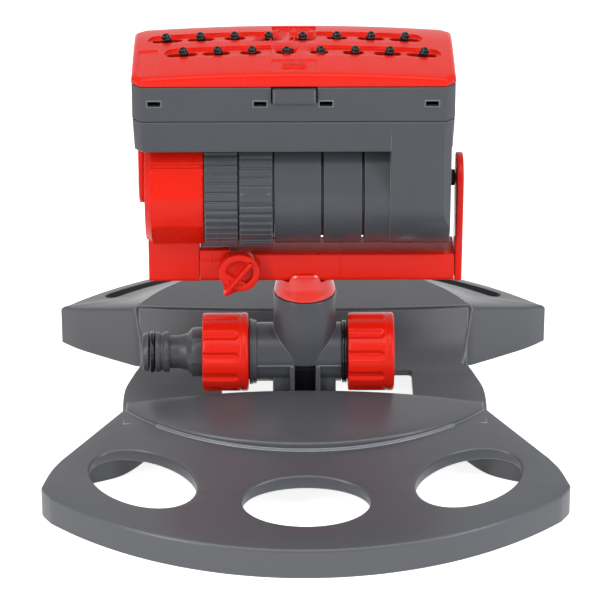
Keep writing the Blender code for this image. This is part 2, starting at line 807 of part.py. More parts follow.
def build_base():
    """The one-piece base: front plate, lens panel, valley, ramp and raised rear, all hollow."""
    under = -UNDERGROUND
    middle = plate_middle()
    base = crowned("base", plate_outline(), under, plate_height, middle, EDGE_ROUND, 3)
    valley = valley_body("valley", 0.0, under)
    valley = common(valley, prism("plan", waist_outline(), under - BASE_WALL, ABOVE_BASE))
    base = join(base, valley, rear_block("rear", 0.0, 0.0, under))
    middle = (0.0, (LENS_FRONT_Y + LENS_REAR_Y) / 2)
    lens = crowned("lens", lens_outline(), RIM_HEIGHT * 0.7, lens_height, middle, LENS_ROUND)
    base = join(base, lens)
    pad_top = foot_bottom() - GAP
    base = join(base, foot_pad(FOOT_HALF_WIDTH, FOOT_HALF_DEPTH, RIM_HEIGHT * 0.8, pad_top))
    land = foot_pad(FOOT_HALF_WIDTH + GAP, FOOT_HALF_DEPTH + GAP, pad_top, ABOVE_BASE)
    base = cut(base, land)
    deep = under - BASE_WALL
    base = cut(base, *base_cavity(deep))
    base = cut(base, *front_holes(0.0, deep, ABOVE_BASE))
    base = cut(base, *hand_slots(0.0, deep, ABOVE_BASE))
    base = cut(base, *windows(0.0, deep, ABOVE_BASE))
    for x, y in foot_screw_places():
        hole = rod("hole", FOOT_SCREW_RADIUS + GAP, under, ABOVE_BASE, centre=(x, y, 0.0), steps=16)
        base = cut(base, hole)
    side = BASE_HALF_WIDTH * 1.5
    back = BASE_HALF_DEPTH * 1.5
    base = cut(base, box("ground", (-side, -back, deep * 2), (side, back, 0.0)))
    return paint(base, GREY, 0.34)


def along_x(name, profile, steps=28):
    """A turned piece on the water pipe's axis. Its profile is (radius, x), from high x to low."""
    return turned(name, profile, steps, TO_X, (0.0, 0.0, PIPE_HEIGHT))


def foot_bottom():
    return VALLEY_HEIGHT + 0.0023 + GAP


def foot_pad(half_width, half_depth, low, high):
    """The level pad under the pipe's foot."""
    return box("pad", (-half_width, -half_depth, low), (half_width, half_depth, high))


def build_tee():
    """The grey tee: the pipe with threads at its ends, the stem and the ribbed foot."""
    left = PIPE_LEFT_X - PIPE_FLANGE_LENGTH
    pipe = along_x(
        "tee",
        [
            (0.0, PIPE_RIGHT_X + THREAD_LENGTH),
            (THREAD_RADIUS, PIPE_RIGHT_X + THREAD_LENGTH),
            (THREAD_RADIUS, PIPE_RIGHT_X - 0.0024),
            (PIPE_RADIUS, PIPE_RIGHT_X - 0.0024),
            (PIPE_RADIUS, PIPE_LEFT_X),
            (PIPE_FLANGE_RADIUS, PIPE_LEFT_X),
            (PIPE_FLANGE_RADIUS, left),
            (THREAD_RADIUS, left),
            (THREAD_RADIUS, left - THREAD_LENGTH),
            (0.0, left - THREAD_LENGTH),
        ],
    )
    stem = rod("stem", STEM_RADIUS, PIPE_HEIGHT, STEM_TOP)
    bottom = foot_bottom()
    core = box(
        "core",
        (-FOOT_HALF_WIDTH, -FOOT_CORE_HALF_DEPTH, bottom),
        (FOOT_HALF_WIDTH, FOOT_CORE_HALF_DEPTH, PIPE_HEIGHT),
    )
    sole = box(
        "sole",
        (-FOOT_HALF_WIDTH, -FOOT_HALF_DEPTH, bottom),
        (FOOT_HALF_WIDTH, FOOT_HALF_DEPTH, bottom + SOLE_THICK),
    )
    ribs = []
    for x in FOOT_RIB_X:
        ribs.append(
            box(
                "rib",
                (x - FOOT_RIB_THICK / 2, -STEM_RADIUS + 0.0006, bottom),
                (x + FOOT_RIB_THICK / 2, STEM_RADIUS - 0.0006, PIPE_HEIGHT - 0.0010),
            )
        )
    pocket_low = FOOT_RIB_X[0] + FOOT_RIB_THICK / 2
    pocket_high = FOOT_RIB_X[1] - FOOT_RIB_THICK / 2
    tee = join(pipe, stem, core, sole, *ribs)
    deep = FOOT_HALF_DEPTH * 1.5
    for front, back in ((-deep, -FOOT_WEB_HALF), (FOOT_WEB_HALF, deep)):
        pocket = box(
            "pocket",
            (pocket_low, front, bottom + SOLE_THICK),
            (pocket_high, back, PIPE_HEIGHT - PIPE_RADIUS + 0.0012),
        )
        tee = cut(tee, pocket)
    bore = rod(
        "bore",
        PIPE_BORE_RADIUS,
        left - THREAD_LENGTH - 0.0010,
        PIPE_RIGHT_X + THREAD_LENGTH + 0.0010,
        TO_X,
        (0.0, 0.0, PIPE_HEIGHT),
        20,
    )
    riser = rod("riser", STEM_BORE_RADIUS, PIPE_HEIGHT, STEM_TOP + 0.0010, steps=20)
    tee = cut(tee, bore, riser)
    for x, y in foot_screw_places():
        hole = rod(
            "hole",
            FOOT_SCREW_RADIUS + GAP,
            bottom - 0.0010,
            bottom + FOOT_SCREW_LENGTH - 0.0050,
            centre=(x, y, 0.0),
            steps=16,
        )
        tee = cut(tee, hole)
    return paint(tee, GREY, 0.36)


def build_foot_screws():
    """Two screws that hold the pipe's foot down from under the floor."""
    head_top = FOOT_SCREW_HEAD_TOP
    for side, (x, y) in zip(("front", "rear"), foot_screw_places()):
        screw = turned(
            f"foot_screw_{side}",
            [
                (0.0, foot_bottom() + FOOT_SCREW_LENGTH - 0.0055),
                (FOOT_SCREW_RADIUS, foot_bottom() + FOOT_SCREW_LENGTH - 0.0065),
                (FOOT_SCREW_RADIUS, head_top - GAP),
                (FOOT_SCREW_HEAD_RADIUS, head_top - GAP),
                (FOOT_SCREW_HEAD_RADIUS, head_top - FOOT_SCREW_HEAD_THICK),
                (0.0, head_top - FOOT_SCREW_HEAD_THICK - GAP),
            ],
            16,
            centre=(x, y, 0.0),
        )
        paint(screw, STEEL, 0.3, 1.0)


def ribbed_outline(radius, ribs, depth):
    """A round outline with shallow flutes."""
    points = []
    for i in range(ribs):
        middle = math.tau * i / ribs
        for share, drop in ((-0.22, 0.0), (0.0, 0.0), (0.22, 0.0), (0.36, depth), (0.64, depth)):
            t = middle + share * math.tau / ribs
            points.append(((radius - drop) * math.cos(t), (radius - drop) * math.sin(t)))
    return points


def ribbed_nut(name, low, high, bore, open_both):
    """A ribbed nut on the pipe's axis with a smooth collar at one end."""
    outline = ribbed_outline(NUT_RADIUS - 0.0003, NUT_RIBS, NUT_RIB_DEPTH)
    points = [(y, z + PIPE_HEIGHT) for y, z in outline]
    grip = prism(name, points, low, high - NUT_COLLAR_LENGTH / 2, TO_X)
    envelope = along_x(
        "envelope",
        [
            (0.0, high),
            (NUT_RADIUS + 0.0010, high),
            (NUT_RADIUS + 0.0010, low + 0.0040),
            (NUT_RADIUS - 0.0006, low + 0.0010),
            (NUT_RADIUS - 0.0014, low - 0.0005),
            (0.0, low - 0.0005),
        ],
    )
    grip = common(grip, envelope)
    bottom = high - NUT_COLLAR_LENGTH
    collar = along_x(
        "collar",
        [
            (0.0, high),
            (NUT_RADIUS - 0.0010, high),
            (NUT_RADIUS, high - 0.0010),
            (NUT_RADIUS, bottom + 0.0006),
            (NUT_RADIUS - 0.0006, bottom),
            (0.0, bottom),
        ],
    )
    nut = join(grip, collar)
    end = high + 0.0010 if open_both else high - 0.0026
    return cut(nut, rod("bore", bore, low - 0.0010, end, TO_X, (0.0, 0.0, PIPE_HEIGHT)))


def nut_places():
    """X of the union nut's and the end cap's ends."""
    union_high = PIPE_LEFT_X - PIPE_FLANGE_LENGTH - GAP
    cap_low = PIPE_RIGHT_X + GAP
    return (union_high - NUT_LENGTH, union_high), (cap_low, cap_low + NUT_LENGTH)


def build_fittings():
    """Union nut, end cap, nipple and their seals."""
    (union_low, union_high), (cap_low, cap_high) = nut_places()
    bore = THREAD_RADIUS + RUN_GAP
    union = ribbed_nut("union_nut", union_low, union_high, bore, True)
    lip_end = union_low + 0.0026
    lip = along_x(
        "lip",
        [
            (NIPPLE_HEX_RADIUS + RUN_GAP, lip_end),
            (bore + 0.0010, lip_end),
            (bore + 0.0010, union_low + 0.0004),
            (NIPPLE_HEX_RADIUS + RUN_GAP, union_low + 0.0004),
            (NIPPLE_HEX_RADIUS + RUN_GAP, lip_end),
        ],
    )
    union = join(union, lip)
    set_origin(paint(union, RED, 0.28), ((union_low + union_high) / 2, 0.0, PIPE_HEIGHT))
    cap = ribbed_nut("end_cap", cap_low, cap_high, bore, False)
    set_origin(paint(cap, RED, 0.28), ((cap_low + cap_high) / 2, 0.0, PIPE_HEIGHT))
    pipe_end = PIPE_LEFT_X - PIPE_FLANGE_LENGTH - THREAD_LENGTH
    washer_high = pipe_end - GAP
    seal_ring("union_washer", washer_high - WASHER_THICK, washer_high, bore - RUN_GAP)
    cap_seat = cap_high - 0.0026 - GAP
    seal_ring("cap_washer", PIPE_RIGHT_X + THREAD_LENGTH + GAP, cap_seat, bore - RUN_GAP)
    build_nipple(washer_high - WASHER_THICK - GAP)
    seal = along_x(
        "end_seal",
        [
            (THREAD_RADIUS + GAP, PIPE_RIGHT_X),
            (PIPE_RADIUS + 0.0004, PIPE_RIGHT_X - 0.0003),
            (PIPE_RADIUS + 0.0004, PIPE_RIGHT_X - 0.0018),
            (THREAD_RADIUS + GAP, PIPE_RIGHT_X - 0.0021),
            (THREAD_RADIUS + GAP, PIPE_RIGHT_X),
        ],
        20,
    )
    paint(seal, BLACK, 0.5)


def seal_ring(name, low, high, radius):
    ring = along_x(
        name,
        [
            (PIPE_BORE_RADIUS, high),
            (radius, high),
            (radius, low),
            (PIPE_BORE_RADIUS, low),
            (PIPE_BORE_RADIUS, high),
        ],
        20,
    )
    return paint(ring, BLACK, 0.6)


def build_nipple(flange_high):
    """The click nipple for a hose, with its groove for the O-ring and its hexagon."""
    tip = NIPPLE_TIP_X
    (union_low, _), _ = nut_places()
    radius = NIPPLE_RADIUS
    groove = tip + 0.0026
    groove_end = groove + O_RING_LENGTH + 2 * GAP
    flange_low = union_low + 0.0026 + GAP
    profile = [
        (NIPPLE_BORE_RADIUS, flange_high),
        (THREAD_RADIUS, flange_high),
        (THREAD_RADIUS, flange_low),
        (NIPPLE_HEX_RADIUS, flange_low),
        (NIPPLE_HEX_RADIUS, union_low - 0.0040),
        (NIPPLE_NECK_RADIUS + 0.0009, union_low - 0.0060),
        (NIPPLE_NECK_RADIUS, union_low - 0.0090),
        (NIPPLE_NECK_RADIUS, union_low - 0.0142),
        (radius + 0.0002, union_low - 0.0144),
        (radius + 0.0002, union_low - 0.0172),
        (radius - 0.0006, union_low - 0.0174),
        (radius - 0.0006, union_low - 0.0180),
        (radius, union_low - 0.0182),
        (radius, groove_end),
        (radius - 0.0020, groove_end),
        (radius - 0.0020, groove),
        (radius - 0.0003, groove),
        (radius - 0.0010, tip),
        (NIPPLE_BORE_RADIUS, tip),
        (NIPPLE_BORE_RADIUS, flange_high),
    ]
    nipple = along_x("hose_nipple", profile, 18)
    paint(nipple, GREY, 0.36)
    seat = radius - 0.0020 + GAP
    ring = along_x(
        "nipple_o_ring",
        [
            (seat, groove + GAP + O_RING_LENGTH),
            (radius - 0.0003, groove + GAP + O_RING_LENGTH),
            (radius + 0.0001, groove + GAP + O_RING_LENGTH * 0.7),
            (radius + 0.0001, groove + GAP + O_RING_LENGTH * 0.3),
            (radius - 0.0003, groove + GAP),
            (seat, groove + GAP),
            (seat, groove + GAP + O_RING_LENGTH),
        ],
        18,
    )
    return paint(ring, BLACK, 0.45)


def bar_section():
    """The bar's cross-section in (y, z), with rounded edges."""
    half = BAR_HALF_DEPTH
    low = BAR_BOTTOM
    high = BAR_BOTTOM + BAR_HEIGHT
    small = 0.0008
    big = BAR_ROUND
    quarter = math.pi / 2
    return (
        arc((half - big, low + big), big, -quarter, 0.0, 4)
        + arc((half - small, high - small), small, 0.0, quarter, 2)
        + arc((-half + small, high - small), small, quarter, 2 * quarter, 2)
        + arc((-half + big, low + big), big, 2 * quarter, 3 * quarter, 4)
    )


def build_frame():
    """The red bar on the stem, in two sections, with the collar and the right arm."""
    bar = prism("water_bar", bar_section(), BAR_LEFT_X, BAR_SEAM_X - GAP, TO_X)
    plug = rod(
        "plug_bore",
        PLUG_RADIUS + RUN_GAP,
        -BAR_HALF_DEPTH - 0.0010,
        0.0060,
        TO_Y,
        (KNOB_X, 0.0, knob_height()),
        16,
    )
    bar = cut(bar, plug)
    paint(bar, RED, 0.26)
    radius = COLLAR_RADIUS
    collar = turned(
        "stem_collar",
        [
            (0.0, BAR_BOTTOM + 0.0054),
            (radius - 0.0042, BAR_BOTTOM + 0.0049),
            (radius - 0.0030, BAR_BOTTOM + 0.0042),
            (radius - 0.0016, BAR_BOTTOM + 0.0027),
            (radius - 0.0005, BAR_BOTTOM + 0.0003),
            (radius - 0.0001, BAR_BOTTOM - 0.0036),
            (radius, STEM_TOP + GAP),
            (0.0, STEM_TOP + GAP),
        ],
    )
    keep = box(
        "keep",
        (-2 * radius, -BAR_HALF_DEPTH - GAP, BAR_BOTTOM - GAP),
        (2 * radius, BAR_HALF_DEPTH + GAP, BAR_BOTTOM + BAR_HEIGHT),
    )
    collar = cut(collar, keep)
    paint(collar, RED, 0.24)
    right = prism("arm_bar", bar_section(), BAR_SEAM_X, BAR_RIGHT_X, TO_X)
    paint(right, RED, 0.26)
    arm_outline = arc((0.0, PIVOT_HEIGHT), ARM_RADIUS, 0.0, math.pi, 14)
    arm_outline += [(-BAR_HALF_DEPTH, BAR_BOTTOM + 0.0010), (-BAR_HALF_DEPTH + 0.0010, BAR_BOTTOM)]
    arm_outline += [(BAR_HALF_DEPTH - 0.0010, BAR_BOTTOM), (BAR_HALF_DEPTH, BAR_BOTTOM + 0.0010)]
    arm = prism("pivot_arm", arm_outline, ARM_LEFT_X - GAP, ARM_LEFT_X + ARM_THICK, TO_X)
    web = box(
        "web",
        (BAR_RIGHT_X + GAP, -BAR_HALF_DEPTH + 0.0012, BAR_BOTTOM + 0.0004),
        (ARM_LEFT_X + 0.0010, BAR_HALF_DEPTH - 0.0012, BAR_BOTTOM + BAR_HEIGHT),
    )
    arm = join(arm, web)
    hole = rod(
        "hole",
        BUSH_RADIUS * 0.5 + RUN_GAP,
        ARM_LEFT_X - ARM_THICK,
        ARM_LEFT_X + 2 * ARM_THICK,
        TO_X,
        (0.0, 0.0, PIVOT_HEIGHT),
        16,
    )
    paint(cut(arm, hole), RED, 0.26)


def knob_height():
    return BAR_BOTTOM + BAR_HEIGHT / 2


def build_knob():
    """The flow knob with its recess, blade and pointer, and the plug it turns."""
    front = -BAR_HALF_DEPTH - GAP
    z = knob_height()
    face = front - KNOB_THICK
    disc = turned(
        "flow_knob",
        [
            (0.0, front),
            (KNOB_RADIUS - 0.0004, front),
            (KNOB_RADIUS, front - 0.0006),
            (KNOB_RADIUS, face + 0.0008),
            (KNOB_RADIUS - 0.0008, face),
            (KNOB_RECESS_RADIUS, face),
            (KNOB_RECESS_RADIUS - 0.0004, face + KNOB_RECESS_DEPTH),
            (0.0, face + KNOB_RECESS_DEPTH),
        ],
        24,
        TO_Y,
        (KNOB_X, 0.0, z),
    )
    lean = math.pi * 1.5 - KNOB_TURN
    tip = (KNOB_TIP_REACH - 0.0016) * math.cos(lean), (KNOB_TIP_REACH - 0.0016) * math.sin(lean)
    side = Vector((-math.sin(lean), math.cos(lean))) * 0.0042
    root = Vector((math.cos(lean), math.sin(lean))) * 0.0050
    outline = [tuple(root - side)]
    outline += arc(tip, 0.0016, lean - 1.1, lean + 1.1, 6)
    outline += [tuple(root + side)]
    pointer = prism(
        "pointer", [(KNOB_X + x, z + y) for x, y in outline], face + 0.0004, front, TO_Y
    )
    blade_tail = Vector((math.cos(lean), math.sin(lean))) * -0.0064
    half = Vector((-math.sin(lean), math.cos(lean))) * 0.0010
    blade = [
        tuple(Vector(tip) + half),
        tuple(Vector(tip) - half),
        tuple(blade_tail - half),
        tuple(blade_tail + half),
    ]
    blade = prism(
        "blade", [(KNOB_X + x, z + y) for x, y in blade], face - 0.0022, front - 0.0006, TO_Y
    )
    spindle = rod("spindle", 0.0020, front - 0.0010, -0.0060, TO_Y, (KNOB_X, 0.0, z), 12)
    knob = join(disc, pointer, blade, spindle)
    set_origin(paint(knob, RED, 0.26), (KNOB_X, front, z))
    plug = rod("valve_plug", PLUG_RADIUS, -0.0060 + GAP, 0.0055, TO_Y, (KNOB_X, 0.0, z), 16)
    way = rod("way", 0.0022, -0.0100, 0.0100, TO_X, (KNOB_X, 0.0, z), 12)
    plug = cut(plug, way)
    set_origin(paint(plug, BLACK, 0.5), (KNOB_X, front, z))


def at_pivot(name, profile, steps=32):
    """A turned piece on the head's pivot axis. Its profile is (radius, x), from high x to low."""
    return turned(name, profile, steps, TO_X, (0.0, 0.0, PIVOT_HEIGHT))


def turbine_height():
    return PIVOT_HEIGHT - PINION_RADIUS * (1 + GEAR_TEETH / PINION_TEETH) - 0.0004


def build_gearbox():
    """The left gearbox: a drum with a foot on the bar, its lid, turbine and gear."""
    left = GEARBOX_LEFT_X
    right = GEARBOX_RIGHT_X
    inner = GEARBOX_RADIUS - GEARBOX_WALL
    drum = at_pivot(
        "gearbox_housing",
        [
            (0.0, right),
            (GEARBOX_RADIUS - 0.0006, right),
            (GEARBOX_RADIUS, right - 0.0006),
            (GEARBOX_RADIUS, left),
            (0.0, left),
        ],
    )
    foot = box(
        "foot",
        (left, -BAR_HALF_DEPTH, BAR_BOTTOM),
        (BAR_LEFT_X - GAP, BAR_HALF_DEPTH, PIVOT_HEIGHT - GEARBOX_RADIUS + 0.0060),
    )
    drum = join(drum, foot)
    for turn in GROOVE_TURNS:
        for mirror in (-1, 1):
            t = math.radians(turn)
            reach = GEARBOX_RADIUS + 0.0002
            middle = (mirror * reach * math.cos(t), PIVOT_HEIGHT + reach * math.sin(t))
            groove = rod("groove", 0.0008, left - 0.0010, right - 0.0014, TO_X, (0.0, *middle), 8)
            drum = cut(drum, groove)
    chamber = at_pivot(
        "chamber",
        [(0.0, right - GEARBOX_WALL), (inner, right - GEARBOX_WALL), (inner, left - 0.0010),
         (0.0, left - 0.0010)],
    )
    drum = cut(drum, chamber, axle_bore(right + 0.0010, left))
    paint(drum, RED, 0.27)
    lid = at_pivot(
        "gearbox_lid",
        [
            (0.0, left + LID_SPIGOT),
            (inner - GAP, left + LID_SPIGOT),
            (inner - GAP, left - GAP),
            (GEARBOX_RADIUS, left - GAP),
            (GEARBOX_RADIUS, left - GEARBOX_LID_THICK + 0.0006),
            (GEARBOX_RADIUS - 0.0006, left - GEARBOX_LID_THICK),
            (0.0, left - GEARBOX_LID_THICK),
        ],
    )
    lid = cut(lid, axle_bore(left + 0.0040, left - 0.0060))
    paint(lid, RED, 0.27)
    build_turbine(left + LID_SPIGOT + GAP, right - GEARBOX_WALL - GAP)


def axle_bore(high, low):
    return rod("axle_bore", AXLE_RADIUS + GAP, low, high, TO_X, (0.0, 0.0, PIVOT_HEIGHT), 16)


def toothed(name, radius, teeth, low, high, centre_z, phase, depth=0.0008):
    """A plain toothed wheel along X, with a tooth at the phase angle."""
    points = []
    for i in range(teeth):
        middle = phase + math.tau * i / teeth
        for share, reach in ((-0.30, -depth), (-0.14, depth), (0.14, depth), (0.30, -depth)):
            t = middle + share * math.tau / teeth
            points.append(((radius + reach) * math.cos(t), centre_z + (radius + reach) * math.sin(t)))
    return prism(name, points, low, high, TO_X)


def build_turbine(low, high):
    """The water turbine with its pinion, and the gear that the pinion drives."""
    z = turbine_height()
    hub = rod("turbine_wheel", 0.0024, low, high, TO_X, (0.0, 0.0, z), 12)
    web = rod("web", TURBINE_RADIUS - 0.0026, low + 0.0016, low + 0.0030, TO_X, (0.0, 0.0, z), 16)
    wheel = join(hub, web)
    for i in range(TURBINE_BLADES):
        blade = box("blade", (low + 0.0010, 0.0020, -0.0004), (low + 0.0062, TURBINE_RADIUS, 0.0004))
        blade.data.transform(Matrix.Rotation(math.tau * i / TURBINE_BLADES, 4, "X"))
        blade.data.transform(Matrix.Translation((0.0, 0.0, z)))
        wheel = join(wheel, blade)
    up = math.pi / 2
    pinion = toothed(
        "pinion", PINION_RADIUS - 0.0004, PINION_TEETH, low + 0.0075, high - 0.0010, z, up
    )
    wheel = join(wheel, pinion)
    set_origin(paint(wheel, GREY, 0.5), (low, 0.0, z))
    gear_radius = PINION_RADIUS * GEAR_TEETH / PINION_TEETH
    gap_down = -up + math.pi / GEAR_TEETH
    gear = toothed(
        "drive_gear", gear_radius - 0.0004, GEAR_TEETH, low + 0.0085, high - 0.0018,
        PIVOT_HEIGHT, gap_down,
    )
    gear = cut(gear, axle_bore(high + 0.0010, low))
    set_origin(paint(gear, BLACK, 0.5), (low, 0.0, PIVOT_HEIGHT))


def head_outline(slack=0.0):
    """Plan of the head: a long rectangle with slanted corners."""
    left = HEAD_LEFT_X
    right = HEAD_RIGHT_X
    front = HEAD_FRONT_Y
    back = HEAD_REAR_Y
    c = HEAD_CHAMFER
    corners = [
        (left + c, front), (right - c, front), (right, front + c), (right, back - c),
        (right - c, back), (left + c, back), (left, back - c), (left, front + c),
    ]
    return inset(corners, slack) if slack else corners


def divided(outline, pieces):
    """Splits the long edges of an outline so that it can follow a crown."""
    made = []
    for i, point in enumerate(outline):
        after = outline[(i + 1) % len(outline)]
        length = math.dist(point, after)
        count = max(1, round(length / pieces))
        for k in range(count):
            share = k / count
            made.append(tuple(a + (b - a) * share for a, b in zip(point, after)))
    return made


def ring_places():
    """X of the two reach rings' ends, from left to right."""
    right_high = BARREL_LEFT_X - RING_GAP
    left_high = right_high - RING_LENGTH - RING_GAP
    return (left_high - RING_LENGTH, left_high), (right_high - RING_LENGTH, right_high)


def build_tray():
    """The head's lower housing: tray, barrel, drum for the rings and the right leg."""
    left = HEAD_LEFT_X
    right = HEAD_RIGHT_X
    lower = [(x, y, TRAY_BOTTOM) for x, y in head_outline(TRAY_INSET)]
    upper = [(x, y, TRAY_TOP - GAP) for x, y in head_outline(0.0002)]
    tray = loft("lower_housing", [lower, upper])
    (ring_low, _), _ = ring_places()
    clear_ring = at_pivot(
        "clear_ring",
        [(0.0, BARREL_LEFT_X), (RING_RADIUS + RUN_GAP, BARREL_LEFT_X),
         (RING_RADIUS + RUN_GAP, left - 0.0100), (0.0, left - 0.0100)],
    )
    tray = cut(tray, clear_ring)
    barrel = at_pivot(
        "barrel",
        [(0.0, LEG_LEFT_X + 0.0020), (BARREL_RADIUS, LEG_LEFT_X + 0.0020),
         (BARREL_RADIUS, BARREL_LEFT_X), (0.0, BARREL_LEFT_X)],
    )
    for x in BARREL_SLITS_X:
        slit = at_pivot(
            "slit",
            [
                (BARREL_RADIUS - BARREL_SLIT_DEPTH, x + BARREL_SLIT_WIDTH / 2),
                (BARREL_RADIUS + 0.0040, x + BARREL_SLIT_WIDTH / 2),
                (BARREL_RADIUS + 0.0040, x - BARREL_SLIT_WIDTH / 2),
                (BARREL_RADIUS - BARREL_SLIT_DEPTH, x - BARREL_SLIT_WIDTH / 2),
                (BARREL_RADIUS - BARREL_SLIT_DEPTH, x + BARREL_SLIT_WIDTH / 2),
            ],
        )
        barrel = cut(barrel, slit)
    drum_left = GEARBOX_RIGHT_X + RUN_GAP
    drum = at_pivot(
        "drum",
        [(0.0, BARREL_LEFT_X + 0.0010), (RING_BORE_RADIUS - GAP, BARREL_LEFT_X + 0.0010),
         (RING_BORE_RADIUS - GAP, drum_left), (0.0, drum_left)],
    )
    half = -HEAD_FRONT_Y - TRAY_INSET
    rear = HEAD_REAR_Y - TRAY_INSET
    under = arc((0.0, PIVOT_HEIGHT), half, math.pi, math.tau, 20)
    under = [(y * (1.0 if y < 0 else rear / half), z) for y, z in under]
    side = under + [(rear, TRAY_BOTTOM + 0.0040), (-half, TRAY_BOTTOM + 0.0040)]
    leg = prism("leg", side, LEG_LEFT_X, right - LEG_INSET, TO_X)
    tray = join(tray, barrel, drum, leg)
    stub = rod("stub", BUSH_RADIUS * 0.5 - GAP, right - 0.0020, ARM_LEFT_X + ARM_THICK, TO_X,
               (0.0, 0.0, PIVOT_HEIGHT), 16)
    tray = join(tray, stub)
    tray = cut(tray, axle_bore(drum_left + 0.0080, drum_left - 0.0010))
    set_origin(paint(tray, GREY, 0.36), (0.0, 0.0, PIVOT_HEIGHT))


def build_band():
    """The head's upper housing: an open band with snap windows and the notch for the tab."""
    lower = [(x, y, TRAY_TOP) for x, y in head_outline(0.0001)]
    upper = [(x, y, BAND_TOP) for x, y in head_outline(-0.0001)]
    band = loft("upper_housing", [lower, upper])
    hollow = prism("hollow", head_outline(HEAD_WALL), TRAY_TOP - 0.0010, BAND_TOP + 0.0010)
    band = cut(band, hollow)
    for x in (-SNAP_OUTER, -SNAP_INNER, SNAP_INNER, SNAP_OUTER):
        middle = HEAD_MID_X + x
        band = cut(
            band,
            box(
                "snap",
                (middle - SNAP_WIDTH / 2, HEAD_FRONT_Y - 0.0010, SNAP_Z - SNAP_HEIGHT / 2),
                (middle + SNAP_WIDTH / 2, HEAD_FRONT_Y + 0.0040, SNAP_Z + SNAP_HEIGHT / 2),
            ),
        )
    half = TAB_WIDTH / 2 + 0.0004
    band = cut(
        band,
        box(
            "notch",
            (HEAD_MID_X - half, HEAD_FRONT_Y - 0.0010, TAB_BOTTOM - GAP),
            (HEAD_MID_X + half, HEAD_FRONT_Y + 0.0040, BAND_TOP + 0.0010),
        ),
        box(
            "rear_notch",
            (HEAD_MID_X - half, HEAD_REAR_Y - 0.0040, TAB_BOTTOM - GAP),
            (HEAD_MID_X + half, HEAD_REAR_Y + 0.0010, BAND_TOP + 0.0010),
        ),
    )
    set_origin(paint(band, GREY, 0.36), (0.0, 0.0, PIVOT_HEIGHT))


def cover_height(x, y):
    """The cover's top is crowned along its length and a little across."""
    across = (x - HEAD_MID_X) / (HEAD_WIDTH / 2)
    middle = (HEAD_FRONT_Y + HEAD_REAR_Y) / 2
    along = (y - middle) / (HEAD_REAR_Y - middle)
    return COVER_EDGE_TOP + COVER_CROWN * (1 - across * across) - 0.0006 * along * along


def nozzle_places():
    """(row, x, y, lean, tilt) for each nozzle.

    Lean is its angle at rest, and tilt what the slider's full travel adds.
    """
    places = []
    most = (NOZZLES_PER_ROW - 1) / 2 * NOZZLE_PITCH + NOZZLE_STAGGER
    for row, (y, side) in enumerate(zip(NOZZLE_ROWS_Y, (1, -1))):
        for i in range(NOZZLES_PER_ROW):
            offset = (i - (NOZZLES_PER_ROW - 1) / 2) * NOZZLE_PITCH + side * NOZZLE_STAGGER
            share = abs(offset) / most
            tilt = NOZZLE_TILT_LEAST + (NOZZLE_TILT_MOST - NOZZLE_TILT_LEAST) * share
            lean = math.atan(offset * NOZZLE_FAN / (COVER_EDGE_TOP - nozzle_pivot_height()))
            places.append((row, HEAD_MID_X + offset, y, lean, math.copysign(tilt, offset)))
    return places


def nozzle_pivot_height():
    return TRAY_TOP + GAP + NOZZLE_BALL_RADIUS


def build_cover():
    """The red cover: a crowned shell with nozzle slots, sunk rows and a bridge between them."""
    outline = divided(head_outline(), 0.0140)
    middle = (HEAD_MID_X, (HEAD_FRONT_Y + HEAD_REAR_Y) / 2)
    low = BAND_TOP + GAP
    cover = crowned("cover", outline, low, cover_height, middle, COVER_ROLL)

    def under(x, y):
        return cover_height(x, y) - COVER_WALL

    inside = divided(head_outline(HEAD_WALL), 0.0200)
    cover = cut(cover, crowned("inside", inside, low - 0.0010, under, middle, 0.0010))
    for outline in row_recesses():
        def sunk(x, y):
            return cover_height(x, y) - COVER_RECESS_DEPTH

        pocket = crowned(
            "pocket", divided(outline, 0.0150), ABOVE_HEAD, sunk, centre_of(outline)
        )
        cover = cut(cover, pocket)
    for _, x, y, lean, tilt in nozzle_places():
        rise = cover_height(x, y) - nozzle_pivot_height()
        ends = sorted(x + rise * math.tan(lean + side * tilt) for side in (-1, 1))
        slot = capsule((ends[0], y), (ends[1], y), NOZZLE_SLOT_WIDTH)
        cover = cut(cover, prism("slot", slot, low - 0.0010, ABOVE_HEAD))
    set_origin(paint(cover, RED, 0.25), (0.0, 0.0, PIVOT_HEIGHT))


def centre_of(outline):
    return tuple(sum(values) / len(outline) for values in zip(*outline))


def row_recesses():
    """Sunk racetracks round the nozzle rows, two on each side of the bridge."""
    made = []
    half = 0.0090
    bridge = 0.0095
    for row, y in enumerate(NOZZLE_ROWS_Y):
        xs = [x for r, x, _, _, _ in nozzle_places() if r == row]
        ends = ((min(xs) - 0.0045, HEAD_MID_X - bridge), (HEAD_MID_X + bridge, max(xs) + 0.0045))
        for low, high in ends:
            if low < HEAD_MID_X - bridge:
                made.append(d_shape(high, low, y, half / 2))
            else:
                made.append(d_shape(low, high, y, half / 2))
    return made


def d_shape(flat, round_end, y, half):
    """A strip with one square end and one round end."""
    side = 1 if round_end > flat else -1
    start = -side * math.pi / 2
    tip = arc((round_end, y), half, start, start + math.pi, 6)
    return [(flat, y - side * half)] + tip + [(flat, y + side * half)]


